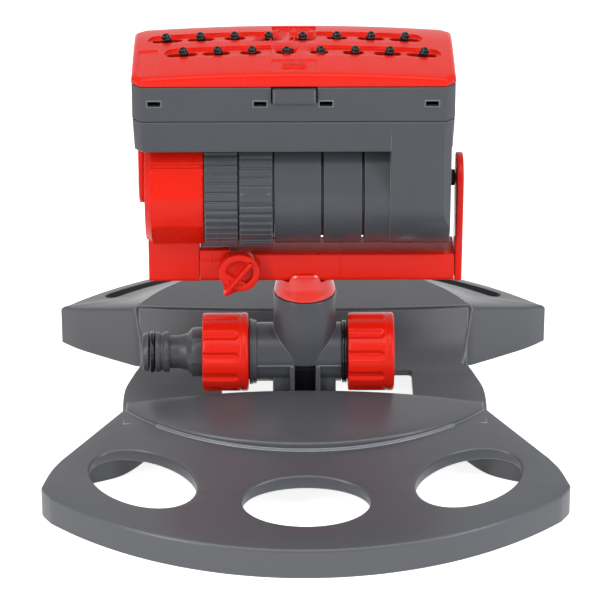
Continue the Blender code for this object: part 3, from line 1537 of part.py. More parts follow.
def build_slider():
    """The spray width slider: a cam plate whose slanted slots tilt the nozzles, and its tabs."""
    low = SLIDER_LEVEL
    high = low + SLIDER_THICK
    front = HEAD_FRONT_Y + HEAD_WALL + SLIDER_TRAVEL + SLIDER_GAP
    back = HEAD_REAR_Y - HEAD_WALL - SLIDER_TRAVEL - SLIDER_GAP
    outline = []
    for x, y in head_outline(HEAD_WALL + SLIDER_GAP):
        outline.append((x, y + math.copysign(SLIDER_TRAVEL, -y)))
    plate = prism("width_slider", outline, low, high)
    rise = low + SLIDER_THICK / 2 - nozzle_pivot_height()
    for _, x, y, lean, tilt in nozzle_places():
        middle = x + rise * math.tan(lean)
        run = SLIDER_TRAVEL + RUN_GAP
        shift = rise * math.tan(tilt) * run / SLIDER_TRAVEL
        slot = capsule((middle + shift, y - run), (middle - shift, y + run), NOZZLE_SLOT_WIDTH)
        plate = cut(plate, prism("cam", slot, low - 0.0010, high + 0.0010))
    half = TAB_WIDTH / 2
    tabs = []
    ends = ((HEAD_FRONT_Y - TAB_PROUD, front + 0.0010), (HEAD_REAR_Y + TAB_PROUD, back - 0.0010))
    for edge, inner in ends:
        step = math.copysign(TAB_THICK, -edge)
        tabs.append(
            box("reach", (HEAD_MID_X - half, min(edge + step, inner), low),
                (HEAD_MID_X + half, max(edge + step, inner), high))
        )
        tabs.append(
            box("tab", (HEAD_MID_X - half, min(edge, edge + step), TAB_BOTTOM),
                (HEAD_MID_X + half, max(edge, edge + step), BAND_TOP - GAP))
        )
    slider = join(plate, *tabs)
    set_origin(paint(slider, GREY, 0.36), (HEAD_MID_X, 0.0, low))


def build_nozzles():
    """Sixteen rubber nozzles, each on a ball seat on the tray."""
    z = nozzle_pivot_height()
    for row, x, y, lean, _ in nozzle_places():
        side = "front" if row == 0 else "rear"
        number = 1 + sum(1 for r, other, _, _, _ in nozzle_places() if r == row and other < x - 1e-6)
        top = cover_height(x, y) + NOZZLE_TIP_ABOVE
        radius = NOZZLE_RADIUS
        ball = NOZZLE_BALL_RADIUS
        nozzle = turned(
            f"nozzle_{side}_{number}",
            [
                (radius * 0.40, top),
                (radius * 0.80, top),
                (radius, top - 0.0008),
                (radius, z + ball * 0.8),
                (ball, z),
                (radius * 0.40, z - ball),
                (radius * 0.40, top),
            ],
            8,
            centre=(x, y, 0.0),
        )
        set_origin(paint(nozzle, BLACK, 0.45), (x, y, z))
        nozzle.data.transform(Matrix.Rotation(lean, 4, "Y"))


def build_rings():
    """The two knurled reach rings round the head's drum."""
    for name, (low, high) in zip(("reach_ring_left", "reach_ring_right"), ring_places()):
        points = []
        for i in range(RING_SCALLOPS):
            for share, drop in ((-0.25, 0.0), (0.25, RING_SCALLOP_DEPTH)):
                t = math.tau * (i + share) / RING_SCALLOPS
                radius = RING_RADIUS - drop
                points.append((radius * math.cos(t), PIVOT_HEIGHT + radius * math.sin(t)))
        ring = prism(name, points, low, high, TO_X)
        bore = rod("bore", RING_BORE_RADIUS, low - 0.0010, high + 0.0010, TO_X,
                   (0.0, 0.0, PIVOT_HEIGHT), 32)
        ring = cut(ring, bore)
        set_origin(paint(ring, GREY, 0.42), ((low + high) / 2, 0.0, PIVOT_HEIGHT))


def build_pivots():
    """The red ear on the left, its axle and the black bush at the right arm."""
    high = GEARBOX_LEFT_X - GEARBOX_LID_THICK - GAP
    low = high - EAR_THICK
    outline = arc((0.0, PIVOT_HEIGHT), EAR_RADIUS, math.pi, math.tau, 16)
    outline += [(EAR_RADIUS, TRAY_BOTTOM - GAP), (-EAR_RADIUS, TRAY_BOTTOM - GAP)]
    ear = prism("pivot_ear", outline, low, high, TO_X)
    ear = cut(ear, axle_bore(high + 0.0010, low + EAR_THICK * 0.4))
    set_origin(paint(ear, RED, 0.26), (0.0, 0.0, PIVOT_HEIGHT))
    axle_high = GEARBOX_RIGHT_X + RUN_GAP + 0.0080 - GAP
    axle = rod("drive_axle", AXLE_RADIUS, low + EAR_THICK * 0.4 + GAP, axle_high, TO_X,
               (0.0, 0.0, PIVOT_HEIGHT), 16)
    set_origin(paint(axle, STEEL, 0.3, 1.0), (0.0, 0.0, PIVOT_HEIGHT))
    leg_side = HEAD_RIGHT_X - LEG_INSET
    bush = at_pivot(
        "pivot_bush",
        [
            (BUSH_RADIUS * 0.5, ARM_LEFT_X - 2 * GAP),
            (BUSH_RADIUS, ARM_LEFT_X - 2 * GAP),
            (BUSH_RADIUS, leg_side + GAP),
            (BUSH_RADIUS * 0.5, leg_side + GAP),
            (BUSH_RADIUS * 0.5, ARM_LEFT_X - 2 * GAP),
        ],
        16,
    )
    set_origin(paint(bush, BLACK, 0.5), (0.0, 0.0, PIVOT_HEIGHT))


def main():
    clear_scene()
    collection(PARTS)
    build_base()
    build_tee()
    build_foot_screws()
    build_fittings()
    build_frame()
    build_knob()
    build_gearbox()
    build_tray()
    build_band()
    build_cover()
    build_slider()
    build_nozzles()
    build_rings()
    build_pivots()


main()
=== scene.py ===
"""Looks of the oscillating garden sprinkler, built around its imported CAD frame."""

import json
from math import acos, asin, atan2, cos, degrees, hypot, pi, radians, sin, sqrt, tan, tau

import bmesh
import bpy
from mathutils import Matrix, Vector
from mathutils.geometry import delaunay_2d_cdt


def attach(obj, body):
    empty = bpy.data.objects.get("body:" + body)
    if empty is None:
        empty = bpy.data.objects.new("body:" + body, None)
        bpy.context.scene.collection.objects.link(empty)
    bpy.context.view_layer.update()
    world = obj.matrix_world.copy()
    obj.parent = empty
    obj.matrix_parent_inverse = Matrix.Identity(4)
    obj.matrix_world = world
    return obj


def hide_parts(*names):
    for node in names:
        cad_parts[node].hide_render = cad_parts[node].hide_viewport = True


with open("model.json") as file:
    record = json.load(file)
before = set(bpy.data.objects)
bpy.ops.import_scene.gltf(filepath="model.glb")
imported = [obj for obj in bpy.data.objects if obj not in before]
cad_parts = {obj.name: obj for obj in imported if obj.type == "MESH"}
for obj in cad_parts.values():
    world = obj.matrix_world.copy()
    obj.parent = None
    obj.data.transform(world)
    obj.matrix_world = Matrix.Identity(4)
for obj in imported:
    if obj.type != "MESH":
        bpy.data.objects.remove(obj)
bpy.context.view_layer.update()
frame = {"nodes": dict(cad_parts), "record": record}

# Camera, pitched after the ellipse between stem and collar
CAMERA_TARGET = Vector((-0.002, 0.0, 0.06198))
CAMERA_DISTANCE = 1.5
CAMERA_PITCH = radians(27)
CAMERA_TURN = radians(-0.39)
CAMERA_LENS = 209.3
CAMERA_SENSOR = 36.0

# Finish colours, linear
RED = (0.66, 0.011, 0.002)
RED_DEEP = (0.62, 0.009, 0.002)
GREY = (0.057, 0.060, 0.068)
GREY_DEEP = (0.049, 0.051, 0.058)
BASE_GREY = (0.070, 0.073, 0.081)
BASE_GREY_DEEP = (0.060, 0.063, 0.070)
RUBBER = (0.006, 0.006, 0.007)
RUBBER_DEEP = (0.010, 0.010, 0.011)
STEEL = (0.55, 0.55, 0.56)
STEEL_DEEP = (0.42, 0.42, 0.44)

# Scales of the plastics' noise, and how strongly a painted highlight turns their edges pale
DRIFT_SCALE = 22.0
GRAIN_SCALE = 1400.0
GLOSS_SCALE = 60.0
EDGE_HIGHLIGHT = 0.7

# Softened edges
EDGE_RADIUS = 0.00045
EDGE_ANGLE = radians(28)
SHARP_ANGLE = radians(32)

TO_X = Matrix(((0, 0, 1), (1, 0, 0), (0, 1, 0))).to_4x4()
TO_Y = Matrix(((1, 0, 0), (0, 0, 1), (0, 1, 0))).to_4x4()
TO_Z = Matrix.Identity(4)


class Graph:
    """A short way to write a material's nodes."""

    def __init__(self, name):
        self.material = bpy.data.materials.new(name)
        self.material.use_nodes = True
        self.tree = self.material.node_tree
        self.shader = self.tree.nodes["Principled BSDF"]

    def node(self, kind, **values):
        made = self.tree.nodes.new(kind)
        for key, value in values.items():
            if key in made.inputs:
                made.inputs[key].default_value = value
            else:
                setattr(made, key, value)
        return made

    def link(self, source, target):
        self.tree.links.new(source, target)

    def set(self, name, value):
        self.shader.inputs[name].default_value = value

    def noise(self, scale, detail=2.0, rough=0.5):
        coords = self.node("ShaderNodeTexCoord")
        made = self.node("ShaderNodeTexNoise", Scale=scale, Detail=detail, Roughness=rough)
        self.link(coords.outputs["Object"], made.inputs["Vector"])
        return made.outputs["Fac"]

    def ramp(self, source, low, high, start, end):
        made = self.node("ShaderNodeMapRange")
        made.inputs["From Min"].default_value = low
        made.inputs["From Max"].default_value = high
        made.inputs["To Min"].default_value = start
        made.inputs["To Max"].default_value = end
        self.link(source, made.inputs["Value"])
        return made.outputs["Result"]

    def mix(self, factor, first, second):
        made = self.node("ShaderNodeMix", data_type="RGBA")
        self.link(factor, made.inputs["Factor"])
        for socket, colour in ((made.inputs[6], first), (made.inputs[7], second)):
            if isinstance(colour, tuple):
                socket.default_value = (*colour, 1)
            else:
                self.link(colour, socket)
        return made.outputs[2]

    def round_normal(self, radius):
        """A normal that turns smoothly over sharp edges."""
        return self.node("ShaderNodeBevel", samples=6, Radius=radius).outputs["Normal"]

    def painted_edge_highlight(self, rounded, strength):
        """Grows toward one where the surface turns sharply: the mask of the painted edge
        highlight.
        """
        flat = self.node("ShaderNodeNewGeometry")
        dot = self.node("ShaderNodeVectorMath", operation="DOT_PRODUCT")
        self.link(rounded, dot.inputs[0])
        self.link(flat.outputs["Normal"], dot.inputs[1])
        return self.ramp(dot.outputs["Value"], 0.985, 0.80, 0.0, strength)

    def bump(self, normal, *layers):
        """Each layer is a height source and its depth in metres."""
        before = normal
        for source, depth in layers:
            made = self.node("ShaderNodeBump", Distance=depth, Strength=1.0)
            self.link(source, made.inputs["Height"])
            self.link(before, made.inputs["Normal"])
            before = made.outputs["Normal"]
        self.link(before, self.shader.inputs["Normal"])


def plastic(name, colour, deep, roughness, spread, grain, edge, ior=1.28, metal=0.0,
            highlight_lift=0.4):
    """Moulded plastic: slow colour drift, fine grain in gloss and relief, and edges painted
    lighter as a highlight.
    """
    graph = Graph(name)
    rounded = graph.round_normal(edge)
    drift = graph.ramp(graph.noise(DRIFT_SCALE, 3.0), 0.15, 0.85, 0.0, 1.0)
    body = graph.mix(drift, colour, deep)
    # Painted highlight: sharp edges turn toward this paler copy of the colour, standing in for
    # light caught on rounded edges.
    pale = tuple(min(1.0, c * (1.0 + highlight_lift) + highlight_lift * 0.06) for c in colour)
    highlit = graph.mix(graph.painted_edge_highlight(rounded, EDGE_HIGHLIGHT), body, pale)
    graph.link(highlit, graph.shader.inputs["Base Color"])
    fine = graph.noise(GRAIN_SCALE, 2.0)
    slow = graph.noise(GLOSS_SCALE, 2.0)
    gloss = graph.ramp(slow, 0.1, 0.9, roughness - spread, roughness + spread)
    graph.link(gloss, graph.shader.inputs["Roughness"])
    graph.bump(rounded, (fine, grain), (slow, grain * 6))
    graph.set("IOR", ior)
    graph.set("Metallic", metal)
    return graph.material


MATERIALS = {
    "red": plastic("red_gloss", RED, RED_DEEP, 0.27, 0.04, 0.000005, 0.00035),
    # The greys' keyword argument paints a much stronger edge highlight than the default.
    "grey": plastic("grey_satin", GREY, GREY_DEEP, 0.29, 0.04, 0.000008, 0.0004, 1.33, highlight_lift=2.0),
    "base": plastic("grey_base", BASE_GREY, BASE_GREY_DEEP, 0.34, 0.04, 0.000008, 0.0008, 1.5,
                    highlight_lift=3.0),
    "shiny": plastic("red_polished", RED, RED_DEEP, 0.13, 0.02, 0.000002, 0.0003, 1.5),
    "gloss": plastic("black_gloss", RUBBER, RUBBER_DEEP, 0.13, 0.03, 0.000004, 0.0002, 1.38),
    "rubber": plastic("black_rubber", RUBBER, RUBBER_DEEP, 0.42, 0.08, 0.00001, 0.0003),
    "steel": plastic("screw_steel", STEEL, STEEL_DEEP, 0.3, 0.05, 0.000004, 0.0002, 1.5, 1.0),
}

SLOTS = {
    "red_plastic": "red",
    "grey_plastic": "grey",
    "black_rubber": "rubber",
    "black_plastic": "rubber",
    "steel": "steel",
}


def placed(name, data):
    """A new object in the scene's collection."""
    made = bpy.data.objects.new(name, data)
    bpy.context.scene.collection.objects.link(made)
    return made


def new_object(name, work):
    """A mesh object from a bmesh, normals out, smooth up to the sharp angle."""
    bmesh.ops.remove_doubles(work, verts=work.verts, dist=1e-7)
    bmesh.ops.recalc_face_normals(work, faces=work.faces)
    mesh = bpy.data.meshes.new(name)
    work.to_mesh(mesh)
    work.free()
    return shade(placed(name, mesh))


def shade(made, angle=SHARP_ANGLE):
    made.data.shade_smooth()
    made.data.set_sharp_from_angle(angle=angle)
    return made


def strip(work, low, high):
    """Quads between two loops with equal counts."""
    for i in range(len(low)):
        j = (i + 1) % len(low)
        work.faces.new((low[i], low[j], high[j], high[i]))


def stack(name, loops, wrap=False, caps=True):
    """Skins a stack of closed loops with equal counts."""
    work = bmesh.new()
    rings = [[work.verts.new(point) for point in loop] for loop in loops]
    pairs = list(zip(rings, rings[1:]))
    if wrap:
        pairs.append((rings[-1], rings[0]))
    for low, high in pairs:
        strip(work, low, high)
    if caps and not wrap:
        work.faces.new(list(reversed(rings[0])))
        work.faces.new(rings[-1])
    return new_object(name, work)


def lathe(name, profile, turn=TO_Z, centre=(0, 0, 0), steps=96):
    """A profile of (radius, height) points turned about an axis; closed if it returns home."""
    matrix = Matrix.Translation(centre) @ turn
    closed = profile[0] == profile[-1]
    points = profile[:-1] if closed else profile
    loops = []
    for radius, height in points:
        loop = []
        for i in range(steps):
            t = tau * i / steps
            loop.append(matrix @ Vector((radius * cos(t), radius * sin(t), height)))
        loops.append(loop)
    return stack(name, loops, wrap=closed, caps=False)


def rounded(points, radius, closed=True, steps=3):
    """Rounds the corners of a polyline. A point may carry its own radius."""
    made = []
    count = len(points)
    for i, point in enumerate(points):
        own = point[2] if len(point) > 2 else radius
        if own <= 0 or (not closed and i in (0, count - 1)):
            made.append(tuple(point[:2]))
            continue
        here = Vector(point[:2])
        back = Vector(points[i - 1][:2]) - here
        ahead = Vector(points[(i + 1) % count][:2]) - here
        turn = pi - back.angle(ahead)
        reach = min(own * tan(turn / 2), back.length * 0.48, ahead.length * 0.48)
        start = here + back.normalized() * reach
        end = here + ahead.normalized() * reach
        for k in range(steps + 1):
            w = k / steps
            made.append(tuple(start * (1 - w) ** 2 + here * 2 * w * (1 - w) + end * w * w))
    return made


def soft(points, steps=3):
    """An open polyline whose points carry their own radii."""
    return rounded(points, 0.0, False, steps)


def rectangle(left, low, right, high):
    return [(left, low), (right, low), (right, high), (left, high)]


def around(x, height, steps, radius_at, side=1):
    """A loop at x about a level axis along X."""
    loop = []
    for i in range(steps):
        t = tau * i / steps
        r = radius_at(t)
        loop.append((x, side * r * cos(t), height + r * sin(t)))
    return loop


def rolled(radius, turns):
    """Steps inward and distances below the top, along a rounded edge."""
    for k in range(turns + 1):
        t = pi / 2 * k / turns
        yield radius * (1 - cos(t)), radius * (1 - sin(t))


def arc(centre, radius, start, end, count):
    turns = [start + (end - start) * i / count for i in range(count + 1)]
    return [(centre[0] + radius * cos(t), centre[1] + radius * sin(t)) for t in turns]


def inset(outline, distance):
    """Moves each point inward along the mean of its two edge normals."""
    count = len(outline)
    area = sum(
        outline[i][0] * outline[(i + 1) % count][1] - outline[(i + 1) % count][0] * outline[i][1]
        for i in range(count)
    )
    side = 1.0 if area > 0 else -1.0
    made = []
    for i, point in enumerate(outline):
        before = Vector(point) - Vector(outline[i - 1])
        after = Vector(outline[(i + 1) % count]) - Vector(point)
        first = Vector((-before.y, before.x)).normalized() * side
        second = Vector((-after.y, after.x)).normalized() * side
        mean = (first + second).normalized()
        made.append(tuple(Vector(point) + mean * distance / max(0.5, mean.dot(first))))
    return made


def extrude(name, outline, low, high, turn=TO_Z, edge=0.0004, steps=3):
    """A flat outline run from low to high with rounded ends."""
    ends = [(fall, step) for step, fall in rolled(edge, steps)]
    levels = [(drawn, low + rise) for drawn, rise in ends]
    levels += [(drawn, high - rise) for drawn, rise in reversed(ends)]
    loops = []
    for drawn, height in levels:
        shape = inset(outline, drawn) if drawn > 1e-9 else outline
        loops.append([turn @ Vector((x, y, height)) for x, y in shape])
    return stack(name, loops)


def prism(name, outline, low, high, turn=TO_Z):
    """A flat outline run from low to high with sharp ends."""
    return extrude(name, outline, low, high, turn, 0.0, 1)


def block(name, low, high, edge=0.0003):
    """A box with rounded edges."""
    outline = rounded(rectangle(*low[:2], *high[:2]), edge)
    return extrude(name, outline, low[2], high[2], TO_Z, edge)


def boolean(target, tool, operation="DIFFERENCE"):
    """Cuts, joins or intersects, and removes the tool."""
    step = target.modifiers.new("boolean", "BOOLEAN")
    step.operation = operation
    step.solver = "EXACT"
    step.object = tool
    bpy.context.view_layer.update()
    graph = bpy.context.evaluated_depsgraph_get()
    mesh = bpy.data.meshes.new_from_object(target.evaluated_get(graph))
    target.modifiers.clear()
    target.data = mesh
    bpy.data.objects.remove(tool, do_unlink=True)
    return target


def union(target, *tools):
    for tool in tools:
        boolean(target, tool, "UNION")
    return target


def cut(target, *tools):
    for tool in tools:
        boolean(target, tool)
    return target


def merged(name, objects):
    """Several separate forms as one mesh object."""
    work = bmesh.new()
    for made in objects:
        work.from_mesh(made.data)
        bpy.data.objects.remove(made, do_unlink=True)
    return new_object(name, work)


def tidy(made, angle=SHARP_ANGLE):
    """Cleans a mesh that booleans cut, then shades it."""
    work = bmesh.new()
    work.from_mesh(made.data)
    bmesh.ops.remove_doubles(work, verts=work.verts, dist=2e-6)
    bmesh.ops.dissolve_degenerate(work, edges=work.edges, dist=1e-6)
    work.to_mesh(made.data)
    work.free()
    return shade(made, angle)


def body_of(node):
    bodies = frame["record"]["behaviour"]["bodies"]
    return next((body for body, members in bodies.items() if node in members), "root")


DRESSED = set()


def wear(made, look, *nodes):
    """Gives a form its material, lets it stand for CAD nodes and ride on their body."""
    made.data.materials.clear()
    made.data.materials.append(MATERIALS[look])
    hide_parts(*nodes)
    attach(made, body_of(nodes[0]))
    DRESSED.update(nodes)


def assemble(node, look, parts):
    """Dresses several forms as the one form of a node."""
    wear(merged(node + "_form", parts), look, node)


def skin(node, look):
    """A softened copy of a CAD node: level faces joined, edges rounded, curves smooth."""
    mesh = frame["nodes"][node].data.copy()
    made = placed(node + "_form", mesh)
    work = bmesh.new()
    work.from_mesh(mesh)
    bmesh.ops.remove_doubles(work, verts=work.verts, dist=1e-6)
    bmesh.ops.dissolve_limit(work, angle_limit=radians(0.8), verts=work.verts, edges=work.edges)
    work.to_mesh(mesh)
    work.free()
    if "custom_normal" in mesh.attributes:
        mesh.attributes.remove(mesh.attributes["custom_normal"])
    bevel = shade(made).modifiers.new("edges", "BEVEL")
    bevel.width = EDGE_RADIUS
    bevel.segments = 2
    bevel.limit_method = "ANGLE"
    bevel.angle_limit = EDGE_ANGLE
    bevel.use_clamp_overlap = True
    bevel.harden_normals = True
    wear(made, look, node)


# Base
HALF_WIDTH = 0.1108
HALF_DEPTH = 0.1272
WALL = 0.0026
FRONT_RADIUS = 0.1500
FRONT_END_X = HALF_WIDTH - 0.0043
REAR_RADIUS = 0.1520
REAR_END_X = HALF_WIDTH - 0.0048
PLATE_REAR_Y = -0.0180
RIM_HEIGHT = 0.0130
PLATE_SLOPE = radians(5.0)
PLATE_MIDDLE = (0.0, (PLATE_REAR_Y - HALF_DEPTH) / 2)
BASE_EDGE = 0.0014
WAIST = HALF_WIDTH - 0.0318
WAIST_SLACK = 0.0110
VALLEY_HEIGHT = 0.0130
VALLEY_FRONT_Y = -0.0300
RAMP_FOOT_Y = 0.0300
RAMP_TOP_Y = 0.0560
RAMP_SAG = 0.0033
RAMP_TUCK = 0.0040
DECK_HEIGHT = 0.0310
DECK_HALF = HALF_WIDTH - 0.0358
DECK_BACK_Y = HALF_DEPTH - 0.0287
WING_TIP_Y = HALF_DEPTH - 0.0472
WING_TIP_HEIGHT = 0.0179
WING_STEP = 0.0020
FRONT_CENTRE = (0.0, -HALF_DEPTH + FRONT_RADIUS)
REAR_CENTRE = (0.0, HALF_DEPTH - REAR_RADIUS)
HOLE_LENGTH = 0.0530
HOLE_WIDTH = 0.0352
HOLE_RING = 0.1150
HOLE_TURN = radians(35.6)
HOLE_LEAN = radians(43)
SIDE_HOLE_RING = HOLE_RING + 0.0022
WING_CURVE = ((0.55, 0.34), (0.93, 0.84))
RIM_ROUND = 0.0009
LENS_FRONT_Y = -0.0555
LENS_REAR_Y = -0.0130
LENS_RADIUS = 0.1000
LENS_TOP = 0.0252
LENS_ROUND = 0.0010
BEAD = 0.0005
BEAD_START = (0.0702, 0.0330)
HOLE_WALL = ((0.0950, -0.0510), (0.0879, -0.0488), (0.0778, -0.0430), (0.0692, -0.0315),
             (0.0680, -0.0265), (0.0680, -0.0200))
BELOW_BASE = -0.0060
ABOVE_BASE = 0.0400
SLOT_TURNS = (radians(12.0), radians(37.4))
WINDOW_REACH = ((-0.0060, 0.0268), (-0.0362, 0.0475))
LIP = 0.0028
HOLE_LIP_LOW, WINDOW_LIP_LOW, SLOT_LIP_LOW = 0.0118, 0.0106, 0.0090
BOSS_WIDTH, BOSS_LOW, SCREWS_Y = 0.0120, 0.0040, (-0.0065, 0.0065)
FOOT_HALF = (0.0134, 0.0136)
FOOT_BOTTOM = VALLEY_HEIGHT + 0.0026


def smooth(points, steps=3):
    """A Catmull-Rom curve through a few points."""
    padded = [points[0]] + list(points) + [points[-1]]
    made = []
    for a, b, c, d in zip(padded, padded[1:], padded[2:], padded[3:]):
        for i in range(steps):
            t = i / steps
            made.append(tuple(
                q + ((r - p) * t + (2 * p - 5 * q + 4 * r - s) * t * t
                     + (3 * q - p - 3 * r + s) * t**3) / 2
                for p, q, r, s in zip(a, b, c, d)))
    made.append(tuple(points[-1]))
    return made


def mirrored(half):
    return list(half) + [(-x, y) for x, y in reversed(half) if x > 1e-6]


def plate_height(x, y):
    return RIM_HEIGHT + (FRONT_RADIUS - hypot(x, y - FRONT_CENTRE[1])) * tan(PLATE_SLOPE)


def plate_outline(steps=40, corner_steps=6):
    end = asin(FRONT_END_X / FRONT_RADIUS)
    front = arc(FRONT_CENTRE, FRONT_RADIUS, -pi / 2, -pi / 2 + end, steps)
    y = front[-1][1]
    corner = smooth(
        [front[-1], (HALF_WIDTH - 0.0005, y + 0.0069), (HALF_WIDTH - 0.0010, y + 0.0113),
         (HALF_WIDTH - 0.0037, y + 0.0206), (HALF_WIDTH - 0.0075, y + 0.0282)],
        corner_steps,
    )
    rear = [(WAIST - 0.0004, PLATE_REAR_Y), (WAIST * 0.5, PLATE_REAR_Y), (0.0, PLATE_REAR_Y)]
    return mirrored(front + corner[1:] + rear)


def waist_outline(slack=0.0, steps=6):
    side = smooth(
        [(WAIST - 0.0012, VALLEY_FRONT_Y), (WAIST - 0.0002, -0.0100), (WAIST - 0.0005, 0.0095),
         (WAIST - 0.0036, 0.0235), (WAIST - 0.0067, 0.0335), (WAIST - 0.0060, 0.0470),
         (DECK_HALF - 0.0010, RAMP_TOP_Y + RAMP_TUCK)],
        steps,
    )
    start = VALLEY_FRONT_Y + slack
    half = [(0.0, start)] + [(x - slack, max(y, start)) for x, y in side]
    return mirrored(half + [(0.0, RAMP_TOP_Y + RAMP_TUCK)])


def valley_profile(drop, low, steps=5):
    """Side view of the deck: front slope, valley floor and concave ramp."""
    start = VALLEY_FRONT_Y - 0.0050
    end = RAMP_TOP_Y + RAMP_TUCK + 0.0020
    run = RAMP_TOP_Y - RAMP_FOOT_Y
    top = smooth(
        [(start, VALLEY_HEIGHT + 0.0052), (-0.0200, VALLEY_HEIGHT + 0.0049),
         (-0.0080, VALLEY_HEIGHT + 0.0032), (0.0050, VALLEY_HEIGHT + 0.0010),
         (0.0180, VALLEY_HEIGHT), (RAMP_FOOT_Y, VALLEY_HEIGHT + 0.0006),
         (RAMP_FOOT_Y + run * 0.42, VALLEY_HEIGHT + 0.0047),
         (RAMP_FOOT_Y + run * 0.82, DECK_HEIGHT - 0.0054),
         (RAMP_TOP_Y + 0.0010, DECK_HEIGHT - 0.0010)],
        steps,
    )
    top.append((end, DECK_HEIGHT - 0.0006))
    return [(start, low)] + [(y, z - drop) for y, z in top] + [(end, low)]


def ramp_bow(x):
    share = min(1.0, abs(x) / DECK_HALF)
    return RAMP_SAG * (1 - share * share)


def valley_body(name, drop, low, steps=5, across=14):
    half = WAIST + WAIST_SLACK
    loops = []
    for i in range(across + 1):
        x = half * (2 * i / across - 1)
        loop = []
        for y, z in valley_profile(drop, low, steps):
            grown = min(1.0, max(0.0, (y - RAMP_FOOT_Y) / (RAMP_TOP_Y - RAMP_FOOT_Y)))
            loop.append((x, y - ramp_bow(x) * grown, z))
        loops.append(loop)
    return stack(name, loops)


def rear_half(fine):
    """Right half of the raised rear: front line, wing, and rear arc."""
    corner = (DECK_HALF, RAMP_TOP_Y)
    pieces = 4 * fine
    front = [(corner[0] * i / pieces, RAMP_TOP_Y - ramp_bow(corner[0] * i / pieces))
             for i in range(pieces + 1)]
    tip_x = HALF_WIDTH - 0.0004
    run = WING_TIP_Y - RAMP_TOP_Y
    wing = smooth(
        [(corner[0] + 0.0012, RAMP_TOP_Y + 0.0003), (corner[0] + 0.0145, RAMP_TOP_Y + run * 0.35),
         (tip_x - 0.0080, RAMP_TOP_Y + run * 0.70), (tip_x, WING_TIP_Y)],
        2 * fine,
    )
    end = acos(REAR_END_X / REAR_RADIUS)
    rear = arc(REAR_CENTRE, REAR_RADIUS, end, pi / 2, 12 * fine)
    return front, wing, rear


def sampled(points, count, first=0):
    last = len(points) - 1
    spans = count - 1 if first == 0 else count
    made = []
    for i in range(count):
        at = (i + first) * last / spans
        k = min(int(at), last - 1)
        w = at - k
        made.append(tuple(a * (1 - w) + b * w for a, b in zip(points[k], points[k + 1])))
    return made


def rear_block(name, wall, drop, low, fine=3):
    """The raised rear: a level top whose sides fall away to a low rim."""
    front, wing, back = rear_half(fine)
    half = front + wing + back
    outline = mirrored(half)
    count = len(half)
    heights = []
    for i in range(count):
        if i < len(front):
            heights.append(DECK_HEIGHT)
        elif i < len(front) + len(wing):
            share = (half[i][0] - DECK_HALF) / (HALF_WIDTH - DECK_HALF)
            start = DECK_HEIGHT - WING_STEP
            heights.append(start + (WING_TIP_HEIGHT - start) * min(1.0, max(0.0, share)) ** 1.1)
        else:
            heights.append(WING_TIP_HEIGHT)
    flat = [i < len(front) for i in range(count)]
    twin = [i for i in reversed(range(count)) if half[i][0] > 1e-6]
    heights += [heights[i] for i in twin]
    flat += [flat[i] for i in twin]
    corner = (DECK_HALF - 0.0170, DECK_BACK_Y - 0.0185)
    side = smooth([(DECK_HALF + 0.0002, RAMP_TOP_Y + 0.0010),
                   (DECK_HALF - 0.0080, RAMP_TOP_Y + 0.0140), corner], 12)
    rear = smooth([corner, (corner[0] * 0.78, DECK_BACK_Y - 0.0095),
                   (corner[0] * 0.41, DECK_BACK_Y - 0.0025), (0.0, DECK_BACK_Y)], 12)
    top = mirrored(list(front) + sampled(side, len(wing)) + sampled(rear, len(back), 1))
    outer = inset(outline, wall) if wall else outline
    loops = [[(x, y, low) for x, y in outer]]
    for step, fall in rolled(BASE_EDGE, 1 if wall else 3):
        moved = inset(outer, step) if step else outer
        loop = [a if square else b for a, b, square in zip(outer, moved, flat)]
        loops.append([(x, y, h - fall - drop) for (x, y), h in zip(loop, heights)])
    middle = (RAMP_TOP_Y - RAMP_SAG + DECK_BACK_Y) / 2
    shrink = wall + 0.0024
    wide = 1 - shrink / DECK_HALF
    deep = 1 - shrink / (middle - RAMP_TOP_Y + RAMP_SAG)
    lifted = [(x * wide, middle + (y - middle) * deep) for x, y in top]
    rim = loops[-1]
    for share, rise in WING_CURVE:
        ring = []
        for (x, y, z), (a, b), square in zip(rim, lifted, flat):
            climb = share if square else rise
            ring.append((x + (a - x) * share, y + (b - y) * share,
                         z + (DECK_HEIGHT - drop - z) * climb))
        loops.append(ring)
    loops.append([(x, y, DECK_HEIGHT - drop) for x, y in lifted])
    return stack(name, loops)


def lens_outline(steps=36):
    centre = (0.0, LENS_FRONT_Y + LENS_RADIUS)
    reach = sqrt(LENS_RADIUS**2 - (LENS_REAR_Y - centre[1] - 0.0020) ** 2)
    limit = asin((WAIST - 0.0020) / LENS_RADIUS)
    end = min(limit, atan2(reach, centre[1] - LENS_REAR_Y))
    half = arc(centre, LENS_RADIUS, -pi / 2, -pi / 2 + end, steps)
    half += [((WAIST - 0.0020) * (1 - i / 12), LENS_REAR_Y) for i in range(13)]
    return mirrored(half)


def lens_height(x, y):
    return LENS_TOP - x * x / (2 * 0.5000) - (y - LENS_REAR_Y) ** 2 / (2 * 0.3300)


def crowned(name, outline, low, height_at, centre, roll=0.0, rings=6):
    """A slab whose top follows height_at, with a rolled edge."""
    loops = [[(x, y, low) for x, y in outline]]
    inner = outline
    for step, drop in rolled(roll, 4) if roll else ((0.0, 0.0),):
        inner = inset(outline, step) if step else outline
        loops.append([(x, y, height_at(x, y) - drop) for x, y in inner])
    for i in range(1, rings + 1):
        share = 1 - i / rings if i < rings else 0.0
        ring = [(centre[0] + (x - centre[0]) * share, centre[1] + (y - centre[1]) * share)
                for x, y in inner]
        loops.append([(x, y, height_at(x, y)) for x, y in ring])
    work = bmesh.new()
    layers = [[work.verts.new(point) for point in loop] for loop in loops]
    for lower, upper in zip(layers, layers[1:]):
        strip(work, lower, upper)
    work.faces.new(list(reversed(layers[0])))
    return new_object(name, work)


